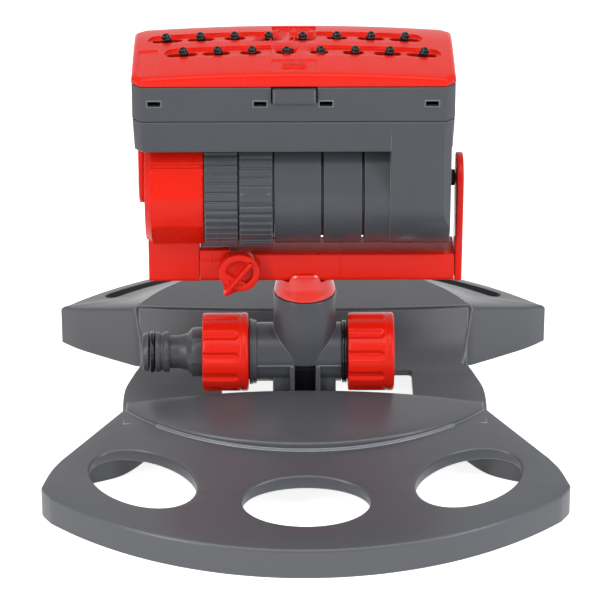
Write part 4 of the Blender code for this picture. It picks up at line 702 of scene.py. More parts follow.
def flared(name, outline, height_at, radius=RIM_ROUND):
    """A cutter that leaves a rounded rim where it meets the surface height_at."""
    loops = [[(x, y, BELOW_BASE) for x, y in outline]]
    for grow, rise in rolled(radius, 4):
        ring = inset(outline, -grow) if grow else outline
        loops.append([(x, y, height_at(x, y) - rise) for x, y in ring])
    top = inset(outline, -radius - 0.0004)
    loops.append([(x, y, height_at(x, y) + 0.0012) for x, y in top])
    loops.append([(x, y, ABOVE_BASE) for x, y in top])
    return stack(name, loops)


def ellipse(centre, length, width, turn, count=72):
    points = []
    for i in range(count):
        u = cos(tau * i / count) * length / 2
        v = sin(tau * i / count) * width / 2
        points.append((centre[0] + u * cos(turn) - v * sin(turn),
                       centre[1] + u * sin(turn) + v * cos(turn)))
    return points


def hole_outlines(grow=0.0, count=72):
    made = []
    for side in (-1, 0, 1):
        turn = side * HOLE_TURN
        ring = SIDE_HOLE_RING if side else HOLE_RING
        middle = (ring * sin(turn), FRONT_CENTRE[1] - ring * cos(turn))
        lean = side * HOLE_LEAN
        made.append(ellipse(middle, HOLE_LENGTH + grow, HOLE_WIDTH + grow, lean, count))
    return made


def slot_outlines(grow=0.0, count=24):
    """The curved hand slots along the rear arc."""
    radius = REAR_RADIUS - 0.0095
    half = (0.0085 + grow) / 2
    made = []
    for side in (-1, 1):
        first, last = (pi / 2 - side * turn for turn in SLOT_TURNS)
        outer = arc(REAR_CENTRE, radius + half, first, last, count)
        inner = arc(REAR_CENTRE, radius - half, last, first, count)
        bend = -side * pi
        tips = []
        for turn, start in ((last, last), (first, first + bend)):
            middle = arc(REAR_CENTRE, radius, turn, turn, 1)[0]
            tips.append(arc(middle, half, start, start + bend, 10)[1:-1])
        made.append(outer + tips[0] + inner + tips[1])
    return made


def window_outlines(grow=0.0):
    inner = FOOT_HALF[0] + 0.0004
    (front, back), (left, right) = WINDOW_REACH
    return [rectangle(low - grow, front - grow, high + grow, back + grow)
            for low, high in ((left, -inner), (inner, right))]


def deck_height(y, past):
    """Height of the deck's side view at y, or past where the view ends."""
    line = valley_profile(0.0, 0.0)[1:-1]
    for (y0, z0), (y1, z1) in zip(line, line[1:]):
        if y0 <= y <= y1:
            return z0 + (z1 - z0) * (y - y0) / (y1 - y0)
    return past


def foot_pad(name, grow, low, high):
    x = FOOT_HALF[0] + grow
    y = FOOT_HALF[1] + grow
    return prism(name, rectangle(-x, -y, x, y), low, high)


def bead(path):
    """A thin round moulding along a path."""
    loops = []
    for i, point in enumerate(path):
        ahead = Vector(path[min(i + 1, len(path) - 1)]) - Vector(path[max(i - 1, 0)])
        side = ahead.cross(Vector((0, 0, 1))).normalized() * BEAD
        up = side.cross(ahead).normalized() * BEAD
        loops.append([tuple(Vector(point) + side * cos(tau * k / 8) + up * sin(tau * k / 8))
                      for k in range(8)])
    return stack("bead", loops)


def base_trim():
    """Mouldings along the lens and the ramp, and the curved walls under the side holes."""
    parts = []
    foot = [(x, y) for x, y in inset(lens_outline(72), -0.0004) if y < -0.0330]
    foot.sort(key=lambda point: point[0])
    parts.append(bead([(x, y, plate_height(x, y) + 0.0001) for x, y in foot]))
    for side in (-1, 1):
        edge = []
        for y in (BEAD_START[1], 0.0360, 0.0400, 0.0440, 0.0480, 0.0520, RAMP_TOP_Y + 0.0002):
            share = (y - BEAD_START[1]) / (RAMP_TOP_Y - BEAD_START[1])
            x = BEAD_START[0] + (DECK_HALF + 0.0004 - BEAD_START[0]) * share
            edge.append((side * x, y - 0.0010, deck_height(y, DECK_HEIGHT) - 0.0004))
        parts.append(bead(edge))
        line = smooth([(side * x, y) for x, y in HOLE_WALL], 5)
        outline = line + [(x + side * 0.0024, y) for x, y in reversed(line)]
        loops = [[(x, y, z or plate_height(x, y) - 0.0012) for x, y in outline]
                 for z in (0.0002, 0)]
        parts.append(stack("hole_wall", loops))
    return parts


def base_form():
    """The one-piece base: front plate, lens panel, valley, ramp and raised rear, all hollow."""
    under = -0.0020
    base = crowned("base_form", plate_outline(), under, plate_height, PLATE_MIDDLE, BASE_EDGE)
    valley = valley_body("valley", 0.0, under)
    boolean(valley, prism("plan", waist_outline(), under - WALL, ABOVE_BASE), "INTERSECT")
    lens_middle = (0.0, (LENS_FRONT_Y + LENS_REAR_Y) / 2)
    lens = crowned("lens", lens_outline(), RIM_HEIGHT * 0.7, lens_height, lens_middle, LENS_ROUND)
    union(base, valley, rear_block("rear", 0.0, 0.0, under), lens)
    pad_top = FOOT_BOTTOM - 0.0003
    union(base, foot_pad("pad", 0.0, 0.0100, pad_top))
    cut(base, foot_pad("land", 0.0003, pad_top, ABOVE_BASE))
    cut(base, *base_cavity(under - WALL))
    for outline in hole_outlines():
        cut(base, flared("hole", outline, plate_height))
    for outline in slot_outlines():
        cut(base, prism("slot", outline, BELOW_BASE, ABOVE_BASE))
    for outline in window_outlines():
        cut(base, flared("window", rounded(outline, 0.0020, steps=5),
                         lambda x, y: deck_height(y, VALLEY_HEIGHT), 0.0006))
    cut(base, prism("ground", rectangle(-0.2, -0.2, 0.2, 0.2), -0.0200, 0.0))
    tidy(base, radians(30))
    assemble("base", "base", [base] + base_trim())


def base_cavity(low):
    """The hollow under the base, with the lips of the openings left standing."""
    plate = crowned("plate_cavity", inset(plate_outline(12, 2), WALL), low,
                    lambda x, y: plate_height(x, y) - WALL, PLATE_MIDDLE, rings=3)
    valley = valley_body("valley_cavity", WALL, low, 2, 8)
    boolean(valley, prism("plan", waist_outline(WALL, 2), low - WALL, ABOVE_BASE), "INTERSECT")
    rear = rear_block("rear_cavity", WALL, WALL, low, 1)
    bosses = [ellipse((0.0, y), BOSS_WIDTH, BOSS_WIDTH, 0.0, 24) for y in SCREWS_Y]
    for hollow, outlines, bottom in ((plate, hole_outlines(2 * LIP, 40), HOLE_LIP_LOW),
                                     (valley, window_outlines(LIP), WINDOW_LIP_LOW),
                                     (valley, bosses, BOSS_LOW),
                                     (rear, slot_outlines(2 * LIP, 10), SLOT_LIP_LOW)):
        for outline in outlines:
            cut(hollow, prism("lip", outline, bottom, ABOVE_BASE))
    return plate, valley, rear


# Water pipe and its fittings
PIPE_Z = 0.0370
PIPE_RADIUS = 0.0128
PIPE_ENDS = (-0.0208, 0.0182)
FLANGE_RADIUS = 0.0142
FLANGE_LENGTH = 0.0031
THREAD_RADIUS = 0.0120
THREAD_LENGTH = 0.0110
STEM_RADIUS = 0.0136
STEM_TOP = 0.0668
NUT_RADIUS = 0.0170
NUT_LENGTH = 0.0200
NUT_RIBS = 11
NUT_FLUTE = 0.0011
NIPPLE_TIP = -0.0700


def on_pipe(name, profile, steps=96):
    """A form turned on the pipe's axis, from (radius, x) points."""
    return lathe(name, profile, TO_X, (0, 0, PIPE_Z), steps)


def nut_reach(turn, x, stop):
    """Radius of a ribbed nut's grip: flutes that end in round pockets at stop."""
    pitch = tau / NUT_RIBS
    off = abs((turn + pitch / 2) % pitch - pitch / 2) * NUT_RADIUS
    ahead = max(0.0, x - stop)
    away = hypot(off, ahead) / 0.0021
    if away >= 1:
        return NUT_RADIUS
    share = 1 - away
    return NUT_RADIUS - NUT_FLUTE * min(1.0, share * 2.2) ** 0.8


def nut_form(node, low, first):
    """A ribbed nut with a smooth collar at its high end."""
    high = low + NUT_LENGTH
    stop = high - 0.0062
    bore = THREAD_RADIUS + 0.0006
    steps = NUT_RIBS * 20
    rows = [(low + 0.0002, -0.0007), (low + 0.0004, -0.0003), (low + 0.0009, -0.0001)]
    rows += [(low + 0.0009 + (stop - low - 0.0009) * k / 4, 0.0) for k in range(1, 5)]
    rows += [(stop + 0.0024 * k / 8, 0.0) for k in range(1, 9)]
    rows += [(high - 0.0036, 0.0), (high - 0.0034, -0.0002), (high - 0.0031, -0.0002),
             (high - 0.0029, 0.0), (high - 0.0010, 0.0), (high - 0.0004, -0.0003),
             (high - 0.0001, -0.0007)]
    loops = []
    for x, radius in ((low + 0.0014, bore), (low + 0.0002, bore + 0.0004), (low + 0.0001, 0.0148)):
        loops.append(around(x, PIPE_Z, steps, lambda t: radius))
    for x, grow in rows:
        loops.append(around(x, PIPE_Z, steps, lambda t: nut_reach(t - first, x, stop) + grow))
    end = bore if node == "union_nut" else 0.0
    for radius in (NUT_RADIUS - 0.0013, max(end, 0.0001)):
        loops.append(around(high, PIPE_Z, steps, lambda t: radius))
    if end:
        loops.append([(high - 0.0012, y, z) for _, y, z in loops[-1]])
    return stack(node + "_form", loops, caps=False)


def fitting_forms():
    left = PIPE_ENDS[0] - FLANGE_LENGTH
    union_low = left - 0.0003 - NUT_LENGTH
    cap_low = PIPE_ENDS[1] + 0.0003
    wear(nut_form("union_nut", union_low, radians(-3)), "red", "union_nut")
    wear(nut_form("end_cap", cap_low, radians(-5)), "red", "end_cap")
    lip = union_low + 0.0026
    nipple = [
        (0.0048, lip + 0.0060), (0.0118, lip + 0.0060), (0.0118, union_low + 0.0030),
        (0.0106, union_low + 0.0028), (0.0106, union_low - 0.0022, 0.0008),
        (0.0102, union_low - 0.0044, 0.0010), (0.0080, union_low - 0.0066, 0.0020),
        (0.0071, union_low - 0.0100, 0.0030), (0.0071, union_low - 0.0141, 0.0002),
        (0.0088, union_low - 0.0144, 0.0005), (0.0088, union_low - 0.0166, 0.0005),
        (0.0080, union_low - 0.0170, 0.0003), (0.0080, union_low - 0.0180, 0.0003),
        (0.0087, union_low - 0.0183, 0.0004), (0.0087, NIPPLE_TIP + 0.0056, 0.0003),
        (0.0067, NIPPLE_TIP + 0.0055, 0.0001), (0.0067, NIPPLE_TIP + 0.0026, 0.0001),
        (0.0086, NIPPLE_TIP + 0.0025, 0.0003), (0.0078, NIPPLE_TIP, 0.0006),
        (0.0048, NIPPLE_TIP, 0.0005), (0.0048, NIPPLE_TIP + 0.0200, 0.0),
    ]
    tube = on_pipe("hose_nipple_form", soft(nipple))
    hexagon = [(0.0108 * cos(tau * i / 6), PIPE_Z + 0.0108 * sin(tau * i / 6)) for i in range(6)]
    nut = extrude("hexagon", rounded(hexagon, 0.0006), union_low - 0.0048, union_low + 0.0010,
                  TO_X, 0.0006)
    assemble("hose_nipple", "grey", [tube, nut])
    ring = []
    for i in range(17):
        t = tau * i / 16
        ring.append((0.0078 + 0.0012 * cos(t), NIPPLE_TIP + 0.0041 + 0.0012 * sin(t)))
    ring[-1] = ring[0]
    wear(on_pipe("nipple_o_ring_form", ring), "gloss", "nipple_o_ring")
    right = PIPE_ENDS[1]
    seal = soft([(0.0123, right), (0.0136, right - 0.0001, 0.0004),
                 (0.0136, right - 0.0009, 0.0003), (0.0129, right - 0.0010, 0.0002),
                 (0.0136, right - 0.0012, 0.0003), (0.0136, right - 0.0021, 0.0004),
                 (0.0123, right - 0.0021)])
    wear(on_pipe("end_seal_form", seal + [seal[0]]), "gloss", "end_seal")


def tee_form():
    """Pipe, stem and ribbed foot of the grey tee."""
    left = PIPE_ENDS[0] - FLANGE_LENGTH
    right = PIPE_ENDS[1]
    outline = [
        (0.0085, left - THREAD_LENGTH), (THREAD_RADIUS, left - THREAD_LENGTH, 0.0004),
        (THREAD_RADIUS, left, 0.0001), (FLANGE_RADIUS, left, 0.0004),
        (FLANGE_RADIUS, left + 0.0014, 0.0003), (FLANGE_RADIUS - 0.0004, left + 0.0016, 0.0001),
        (FLANGE_RADIUS - 0.0004, PIPE_ENDS[0], 0.0004),
        (PIPE_RADIUS, PIPE_ENDS[0] + 0.0001, 0.0003),
        (PIPE_RADIUS, right - 0.0024, 0.0003), (THREAD_RADIUS, right - 0.0024, 0.0001),
        (THREAD_RADIUS, right + THREAD_LENGTH, 0.0004), (0.0085, right + THREAD_LENGTH),
    ]
    shell = soft(outline)
    pipe = on_pipe("pipe", shell + [shell[0]])
    cut(pipe, prism("hollow", rectangle(-0.0045, -0.0300, 0.0047, -0.0010), 0.0100,
                    PIPE_Z + 0.0026))
    stem = lathe("stem", [(0.0, PIPE_Z), (STEM_RADIUS, PIPE_Z), (STEM_RADIUS, STEM_TOP - 0.0008),
                          (STEM_RADIUS - 0.0003, STEM_TOP - 0.0002),
                          (STEM_RADIUS - 0.0008, STEM_TOP), (0.0, STEM_TOP)])
    x, y = FOOT_HALF
    bottom = FOOT_BOTTOM
    parts = [pipe, stem]
    for side in (-1, 1):
        parts.append(block("saddle", (min(side * x, side * 0.0062), -0.0104, bottom),
                           (max(side * x, side * 0.0062), 0.0104, PIPE_Z - 0.0040), 0.0004))
    parts.append(block("web", (-x + 0.0002, -0.0006, bottom), (x - 0.0002, 0.0045, PIPE_Z)))
    parts.append(block("sole", (-x, -y, bottom), (x, y, bottom + 0.0020), 0.0005))
    for middle in (-0.0053, 0.0056):
        parts.append(block("rib", (middle - 0.0009, -0.0136, bottom + 0.0004),
                           (middle + 0.0009, 0.0136, PIPE_Z - 0.0006), 0.0003))
    for low, high in ((PIPE_ENDS[0] + 0.0002, -0.0052), (0.0056, right - 0.0026)):
        parts.append(block("ledge", (low, -PIPE_RADIUS - 0.0005, PIPE_Z - 0.0010),
                           (high, PIPE_RADIUS + 0.0005, PIPE_Z - 0.0002), 0.0002))
    assemble("tee", "grey", parts)


# Red frame and drive
PIVOT_Z = 0.1200
HEAD_MID = -0.0045
HEAD_LEFT = HEAD_MID - 0.0668
HEAD_RIGHT = HEAD_MID + 0.0663
BAR_LOW = PIVOT_Z - 0.0448
BAR_HIGH = BAR_LOW + 0.0130
BAR_HALF = 0.0090
BOX_LEFT = HEAD_LEFT + 0.0070
BOX_RIGHT = HEAD_LEFT + 0.0291
FOOT_LEFT = HEAD_LEFT + 0.0050
BOX_RADIUS = 0.0277
BAR_LEFT = HEAD_LEFT + 0.0268
SEAM_X = 0.0152
ARM_LEFT = HEAD_RIGHT + 0.0022
ARM_THICK = 0.0028
ARM_RADIUS = 0.0108
CHANNEL = (33.0, 37.0, 0.0008)
FLATS = ((-54.0, -22.0), (-22.0, 5.0), (5.0, 33.0))
FLATNESS = 0.6
KNOB = Vector((-0.0278, -0.0093, BAR_LOW + 0.0067))
EAR_TOP = 0.1443
KNOB_TURN = radians(29)
BLADE_TURN = radians(39)


def on_pivot(name, profile, steps=128):
    return lathe(name, profile, TO_X, (0, 0, PIVOT_Z), steps)


def bar_section():
    """Cross-section of the bar in (y, z)."""
    return rounded([(-BAR_HALF, BAR_LOW, 0.0026), (BAR_HALF, BAR_LOW, 0.0026),
                    (BAR_HALF, BAR_HIGH, 0.0009), (-BAR_HALF, BAR_HIGH, 0.0009)], 0.0, steps=6)


def bar_forms():
    left = extrude("water_bar_form", bar_section(), BAR_LEFT, SEAM_X - 0.00004, TO_X, 0.0001)
    marks = [block("raised", (BAR_LEFT, -BAR_HALF - 0.0001, BAR_HIGH - 0.0030),
                   (KNOB.x - 0.0040, -BAR_HALF + 0.0045, BAR_HIGH + 0.0021), 0.0005),
             block("peg", (KNOB.x + 0.0035, -BAR_HALF + 0.0008, BAR_HIGH - 0.0010),
                   (KNOB.x + 0.0047, -BAR_HALF + 0.0022, BAR_HIGH + 0.0016), 0.0003)]
    x = KNOB.x - 0.0120
    marks.append(block("mark", (x - 0.0003, -BAR_HALF - 0.00025, BAR_HIGH - 0.0032),
                       (x + 0.0003, -BAR_HALF + 0.0010, BAR_HIGH + 0.0010), 0.0001))
    assemble("water_bar", "red", [left] + marks)
    right = extrude("arm_bar_form", bar_section(), SEAM_X, ARM_LEFT - 0.0006, TO_X, 0.0001)
    wear(right, "red", "arm_bar")
    outline = arc((0.0, PIVOT_Z), ARM_RADIUS, 0.0, pi, 40)
    low = soft([(-ARM_RADIUS, PIVOT_Z), (-BAR_HALF, BAR_LOW, 0.0014),
                (BAR_HALF, BAR_LOW, 0.0014), (ARM_RADIUS, PIVOT_Z)], 5)
    arm = extrude("pivot_arm_form", outline + low[1:-1], ARM_LEFT - 0.0003, ARM_LEFT + ARM_THICK,
                  TO_X, 0.0007)
    cap = on_pivot("arm_cap", [(0.0, ARM_LEFT + ARM_THICK + 0.0004),
                               (0.0030, ARM_LEFT + ARM_THICK + 0.0004),
                               (0.0034, ARM_LEFT + ARM_THICK), (0.0034, ARM_LEFT),
                               (0.0, ARM_LEFT)], 48)
    assemble("pivot_arm", "red", [arm, cap])


def collar_form():
    """The glossy red cone between the stem and the bar, trimmed by the bar."""
    radius = 0.0132
    curve = smooth([(radius - 0.0048, STEM_TOP + 0.0123), (radius - 0.0034, STEM_TOP + 0.0122),
                    (radius - 0.0024, STEM_TOP + 0.0112), (radius - 0.0018, STEM_TOP + 0.0088),
                    (radius - 0.0011, STEM_TOP + 0.0052), (radius - 0.0004, STEM_TOP + 0.0026),
                    (radius, STEM_TOP + 0.0010)], 6)
    profile = [(0.0, STEM_TOP + 0.0124), (radius - 0.0060, STEM_TOP + 0.0124)] + curve
    profile += [(radius, STEM_TOP + 0.0005), (radius - 0.0004, STEM_TOP + 0.0003),
                (0.0, STEM_TOP + 0.0003)]
    collar = lathe("stem_collar_form", profile, steps=128)
    half = BAR_HALF + 0.0002
    cut(collar, prism("keep", rectangle(-0.03, -half, 0.03, half), BAR_LOW - 0.0002, BAR_HIGH))
    wear(tidy(collar), "shiny", "stem_collar")


def drum_reach(turn):
    """Radius of the gearbox drum: flats that meet in creases, one sunk channel."""
    t = round(degrees(asin(sin(turn))), 3)
    if CHANNEL[0] < t < CHANNEL[1]:
        return BOX_RADIUS - CHANNEL[2]
    for low, high in FLATS:
        if low <= t <= high:
            middle, half = radians((low + high) / 2), radians((high - low) / 2)
            flat = BOX_RADIUS * cos(half) / cos(radians(t) - middle)
            return flat * FLATNESS + BOX_RADIUS * (1 - FLATNESS)
    return BOX_RADIUS


def gearbox_forms():
    """The left drum with its foot, flats, channel and bevelled end."""
    drum = stack("gearbox_housing_form", [
        around(x, PIVOT_Z, 360, lambda t: drum_reach(t) - drawn, -1)
        for x, drawn in ((BOX_RIGHT, 0.0120), (BOX_RIGHT, 0.0006), (BOX_RIGHT - 0.0002, 0.0002),
                         (BOX_RIGHT - 0.0006, 0.0), (BOX_LEFT, 0.0), (BOX_LEFT, 0.0120))])
    foot = extrude("foot", rounded([(-BAR_HALF - 0.0001, BAR_LOW, 0.0022),
                                    (BAR_HALF, BAR_LOW, 0.0022),
                                    (BAR_HALF, PIVOT_Z - 0.0200),
                                    (-BAR_HALF - 0.0001, PIVOT_Z - 0.0200)],
                                   0.0, steps=6), FOOT_LEFT, BAR_LEFT - 0.0003, TO_X, 0.0003)
    assemble("gearbox_housing", "red", [drum, foot])
    low = BOX_LEFT - 0.0026
    lid = soft([(0.0, BOX_LEFT + 0.0002), (BOX_RADIUS - 0.0001, BOX_LEFT + 0.0002, 0.0001),
                (BOX_RADIUS - 0.0022, low, 0.0006), (BOX_RADIUS - 0.0050, low, 0.0002),
                (BOX_RADIUS - 0.0056, low + 0.0006, 0.0002), (0.0090, low + 0.0006, 0.0002),
                (0.0084, low, 0.0002), (0.0, low)])
    wear(on_pivot("gearbox_lid_form", lid), "red", "gearbox_lid")


def directions(turn):
    """Unit vectors along a turn in the plane, and across it."""
    return Vector((cos(turn), sin(turn))), Vector((-sin(turn), cos(turn)))


def knob_form():
    """Flow knob: a disc with a round recess, a diagonal blade and a pointer."""
    face = -0.0052
    disc = lathe("disc", soft([(0.0, 0.0), (0.0087, 0.0, 0.0004), (0.0087, face, 0.0008),
                               (0.0058, face, 0.0003), (0.0054, face + 0.0024, 0.0004),
                               (0.0, face + 0.0024)]), TO_Y, steps=72)
    lean = pi * 1.5 - KNOB_TURN
    along, across = directions(lean)
    tip = along * 0.0108
    outline = [tuple(along * 0.0030 - across * 0.0072)]
    outline += arc(tuple(tip), 0.0015, lean - 1.25, lean + 1.25, 8)
    outline += [tuple(along * 0.0030 + across * 0.0072)]
    pointer = extrude("pointer", outline, face + 0.0006, 0.0, TO_Y, 0.0006)
    along, across = directions(pi * 1.5 - BLADE_TURN)
    start, end = along * 0.0112 + across * 0.0012, -along * 0.0074 + across * 0.0006
    shape = rounded([tuple(start + across * 0.0012), tuple(start - across * 0.0010),
                     tuple(end - across * 0.0010), tuple(end + across * 0.0010)], 0.0007)
    blade = extrude("blade", shape, face - 0.0022, -0.0010, TO_Y, 0.0006)
    rim = lathe("neck", [(0.0, 0.0060), (0.0020, 0.0060), (0.0020, -0.0010), (0.0, -0.0010)],
                TO_Y, steps=24)
    knob = merged("flow_knob_form", [disc, pointer, blade, rim])
    knob.data.transform(Matrix.Translation(KNOB))
    wear(knob, "red", "flow_knob")


def ear_form():
    """Red hanger at the head's left end, with the axle's boss."""
    high = BOX_LEFT - 0.0029
    low = high - 0.0026
    outline = arc((0.0, PIVOT_Z), 0.0103, pi, tau, 40) + [(0.0112, EAR_TOP), (-0.0112, EAR_TOP)]
    ear = extrude("pivot_ear_form", outline, low, high, TO_X, 0.0007)
    boss = on_pivot("boss", soft([(0.0, low - 0.0003), (0.0050, low - 0.0003, 0.0003),
                                  (0.0050, high), (0.0, high)]), 48)
    assemble("pivot_ear", "red", [ear, boss])


# Oscillating head
HEAD_FRONT = -0.0285
HEAD_BACK = 0.0262
HEAD_CHAMFER = 0.0040
TRAY_LOW = PIVOT_Z + 0.0243
TRAY_HIGH = TRAY_LOW + 0.0142
BAND_HIGH = TRAY_HIGH + 0.0152
COVER_EDGE = BAND_HIGH + 0.0046
COVER_CROWN = 0.0024
REAR_FALL = 0.0019
FRONT_FALL = 0.0011
NOZZLE_RISE = 0.0013
NOZZLE_REACH = 0.027
NOZZLE_BEND = 0.0030
NOZZLE_FAN = 8.0
COVER_ROLL = 0.0017
SIDE_ROLL = 0.0020
REAR_ROLL = 0.0012
HEAD_CORNER = 0.0010
EDGE_PARTS = (31, 1, 12, 1, 31, 1, 12, 1)
BARREL_RADIUS = 0.0274
BARREL_LEFT = HEAD_LEFT + 0.0585
SLITS = (BARREL_LEFT + 0.0200, BARREL_LEFT + 0.0370)
LEG_LEFT = HEAD_RIGHT - 0.0264
RING_RADIUS = 0.0285
RING_GAPS = (0.0007, 0.0004)
RING_WIDTH = 0.0141
RING_BORE = 0.0205
RING_TEETH = 44
TAB_HALF = 0.0089
TAB_LOW = TRAY_HIGH + 0.0084
SNAPS = (-0.0575, -0.0140, 0.0130, 0.0565)
PITCH = (0.1320 - 2 * 0.0177) / 7
STAGGER = 0.0036
ROWS = (-0.0058, 0.0097)
BALL_Z = TRAY_HIGH + 0.0026
RECESS = 0.0011
RECESS_FRONT = 0.0002
RECESS_EDGE = 0.00025
GRID = (34, 14)
SLOT_HALVES = (0.0063, 0.0056, 0.0043, 0.0037)
STROKE_WIDTH = 0.0005
STROKE_LIFT = 0.0003


def head_loop(front, side=None, back=None):
    """Plan of the head, drawn in by a distance, with slanted and lightly rounded corners."""
    side = front if side is None else side
    back = front if back is None else back
    left, right = HEAD_LEFT + side, HEAD_RIGHT - side
    low, high = HEAD_FRONT + front, HEAD_BACK - back
    c = HEAD_CHAMFER - 0.29 * (front + side)
    d = HEAD_CHAMFER - 0.29 * (back + side)
    corners = [(left + c, low), (right - c, low), (right, low + c), (right, high - d),
               (right - d, high), (left + d, high), (left, high - d), (left, low + c)]
    points = rounded(corners, HEAD_CORNER, steps=2)
    made = []
    for i, parts in enumerate(EDGE_PARTS):
        made += points[3 * i:3 * i + 3]
        start, end = points[3 * i + 2], points[(3 * i + 3) % len(points)]
        for k in range(1, parts):
            made.append(tuple(a + (b - a) * k / parts for a, b in zip(start, end)))
    return made


def head_loops(levels):
    """Loops of the head's plan, from distances drawn in and heights."""
    return [[(x, y, z) for x, y in head_loop(drawn)] for drawn, z in levels]


def divided(outline, length=0.0030):
    """Splits an outline's long edges."""
    made = []
    for i, point in enumerate(outline):
        after = outline[(i + 1) % len(outline)]
        count = max(1, round(hypot(after[0] - point[0], after[1] - point[1]) / length))
        for k in range(count):
            made.append(tuple(a + (b - a) * k / count for a, b in zip(point, after)))
    return made


def cover_height(x, y):
    across = (x - HEAD_MID) / 0.0660
    middle = (HEAD_FRONT + HEAD_BACK) / 2
    along = (y - middle) / (HEAD_BACK - middle)
    fall = REAR_FALL * max(0.0, (along - 0.30) / 0.70) ** 2
    fall += FRONT_FALL * max(0.0, -along) ** 2
    return COVER_EDGE + COVER_CROWN * (1 - across * across) - fall


def nozzle_places():
    """Row, number, x and y of each nozzle."""
    return [(row, i + 1, HEAD_MID + ((i - 3.5) * PITCH + side * STAGGER), y)
            for row, (y, side) in enumerate(zip(ROWS, (1, -1))) for i in range(8)]


def capsule(low, high, y, half):
    return (arc((high, y), half, -pi / 2, pi / 2, 10)
            + arc((low, y), half, pi / 2, 3 * pi / 2, 10))


def slot_shapes():
    """The openings round the nozzles, longer toward the ends of the rows."""
    made = []
    for row, number, x, y in nozzle_places():
        half = SLOT_HALVES[min(number - 1, 8 - number)]
        x += (x - HEAD_MID) * 0.025 + (0.0004 if row else -0.0004)
        made.append(capsule(x - half + 0.0024, x + half - 0.0024, y, 0.0024))
    return made


def sunk_shapes():
    """Sunk places of the top as (outline, rear depth, front depth)."""
    made = []
    half = 0.0054
    for row, y in enumerate(ROWS):
        xs = [place[2] for place in nozzle_places() if place[0] == row]
        for flat, tip in ((HEAD_MID - 0.0093, min(xs) - 0.0036),
                          (HEAD_MID + 0.0093, max(xs) + 0.0036)):
            side = 1 if tip > flat else -1
            middle = y + 0.0003
            bow = arc((tip, middle), half, -pi / 2, -pi / 2 + side * pi, 16)
            shape = [(flat, middle - half)] + bow + [(flat, middle + half)]
            made.append((divided(shape), RECESS, RECESS_FRONT))
    x = HEAD_MID
    plates = (((x - 0.0093, -0.0254), (x + 0.0093, -0.0144), 0.0005, 0.0004),
              ((HEAD_LEFT + 0.0024, -0.0250), (HEAD_LEFT + 0.0104, -0.0004), 0.0006, 0.0003),
              ((x - 0.0093, 0.0163), (x + 0.0093, HEAD_BACK - 0.0030), 0.0010, 0.0001))
    for low, high, rear, front in plates:
        made.append((divided(rectangle(*low, *high)), rear, front))
    return made


def sink(y, shape, rear, front):
    """Depth of a sunk place: it falls away toward its rear wall."""
    low = min(point[1] for point in shape)
    high = max(point[1] for point in shape)
    return front + (rear - front) * (y - low) / (high - low)


def cover_top(inner):
    """The cover's top face: a triangulated plan with its sunk places and openings, lifted."""
    points, edges, depth = [], [], []

    def add(loop, level):
        start = len(points)
        for x, y in loop:
            points.append(Vector((x, y)))
            depth.append(level(y))
        count = len(loop)
        edges.extend((start + i, start + (i + 1) % count) for i in range(count))

    add(inner, lambda y: 0.0)
    steps = sunk_shapes()
    for shape, rear, front in steps:
        add(shape, lambda y: 0.0)
        add(inset(shape, RECESS_EDGE), lambda y: sink(y, shape, rear, front))
    floors = [(inset(shape, RECESS_EDGE), shape, rear, front) for shape, rear, front in steps]
    holes = slot_shapes()
    for hole in holes:
        middle = sum(y for _, y in hole) / len(hole)
        deep = next((s for s in floors if inside(hole[0][0], middle, s[0])), floors[0])
        add(inset(hole, -0.0003), lambda y: sink(y, *deep[1:]))
        add(hole, lambda y: sink(y, *deep[1:]) + 0.0003)
    fixed = list(points)
    across, along = HEAD_RIGHT - HEAD_LEFT - 0.0080, HEAD_BACK - HEAD_FRONT - 0.0090
    for i in range(GRID[0]):
        for k in range(GRID[1]):
            x = HEAD_LEFT + 0.0040 + across * i / (GRID[0] - 1)
            y = HEAD_FRONT + 0.0050 + along * k / (GRID[1] - 1)
            spot = Vector((x, y))
            if min((spot - point).length for point in fixed) < 0.0012:
                continue
            points.append(spot)
            deep = next((s for s in floors if inside(x, y, s[0])), None)
            depth.append(sink(y, *deep[1:]) if deep else 0.0)
    found, _, faces, origin, _, _ = delaunay_2d_cdt(points, edges, [], 0, 1e-7)
    levels = [max(depth[k] for k in old) if old else 0.0 for old in origin]
    work = bmesh.new()
    verts = [work.verts.new((p.x, p.y, cover_height(p.x, p.y) - d))
             for p, d in zip(found, levels)]
    for face in faces:
        x = sum(found[i].x for i in face) / len(face)
        y = sum(found[i].y for i in face) / len(face)
        if inside(x, y, inner) and not any(inside(x, y, hole) for hole in holes):
            work.faces.new([verts[i] for i in face])
    for hole in holes:
        top = [min(verts, key=lambda v: (v.co.x - x) ** 2 + (v.co.y - y) ** 2) for x, y in hole]
        low = [work.verts.new((x, y, cover_height(x, y) - 0.0044)) for x, y in hole]
        strip(work, top, low)
    return work


def inside(x, y, outline):
    found = False
    for (x0, y0), (x1, y1) in zip(outline, outline[1:] + outline[:1]):
        if (y0 > y) != (y1 > y) and x < x0 + (x1 - x0) * (y - y0) / (y1 - y0):
            found = not found
    return found


def bar_relief(start, end):
    """A short raised stroke of a pictogram on the cover."""
    a, b = Vector(start), Vector(end)
    side = Vector((-(b - a).y, (b - a).x)).normalized() * STROKE_WIDTH / 2
    loops = []
    for rise, share in ((-0.0006, 1.0), (STROKE_LIFT - 0.0001, 1.0), (STROKE_LIFT, 0.6)):
        loop = []
        for point, sign in ((a, 1), (b, 1), (b, -1), (a, -1)):
            spot = point + side * sign * share
            loop.append((spot.x, spot.y, cover_height(spot.x, spot.y) + rise))
        loops.append(loop)
    return stack("stroke", loops)


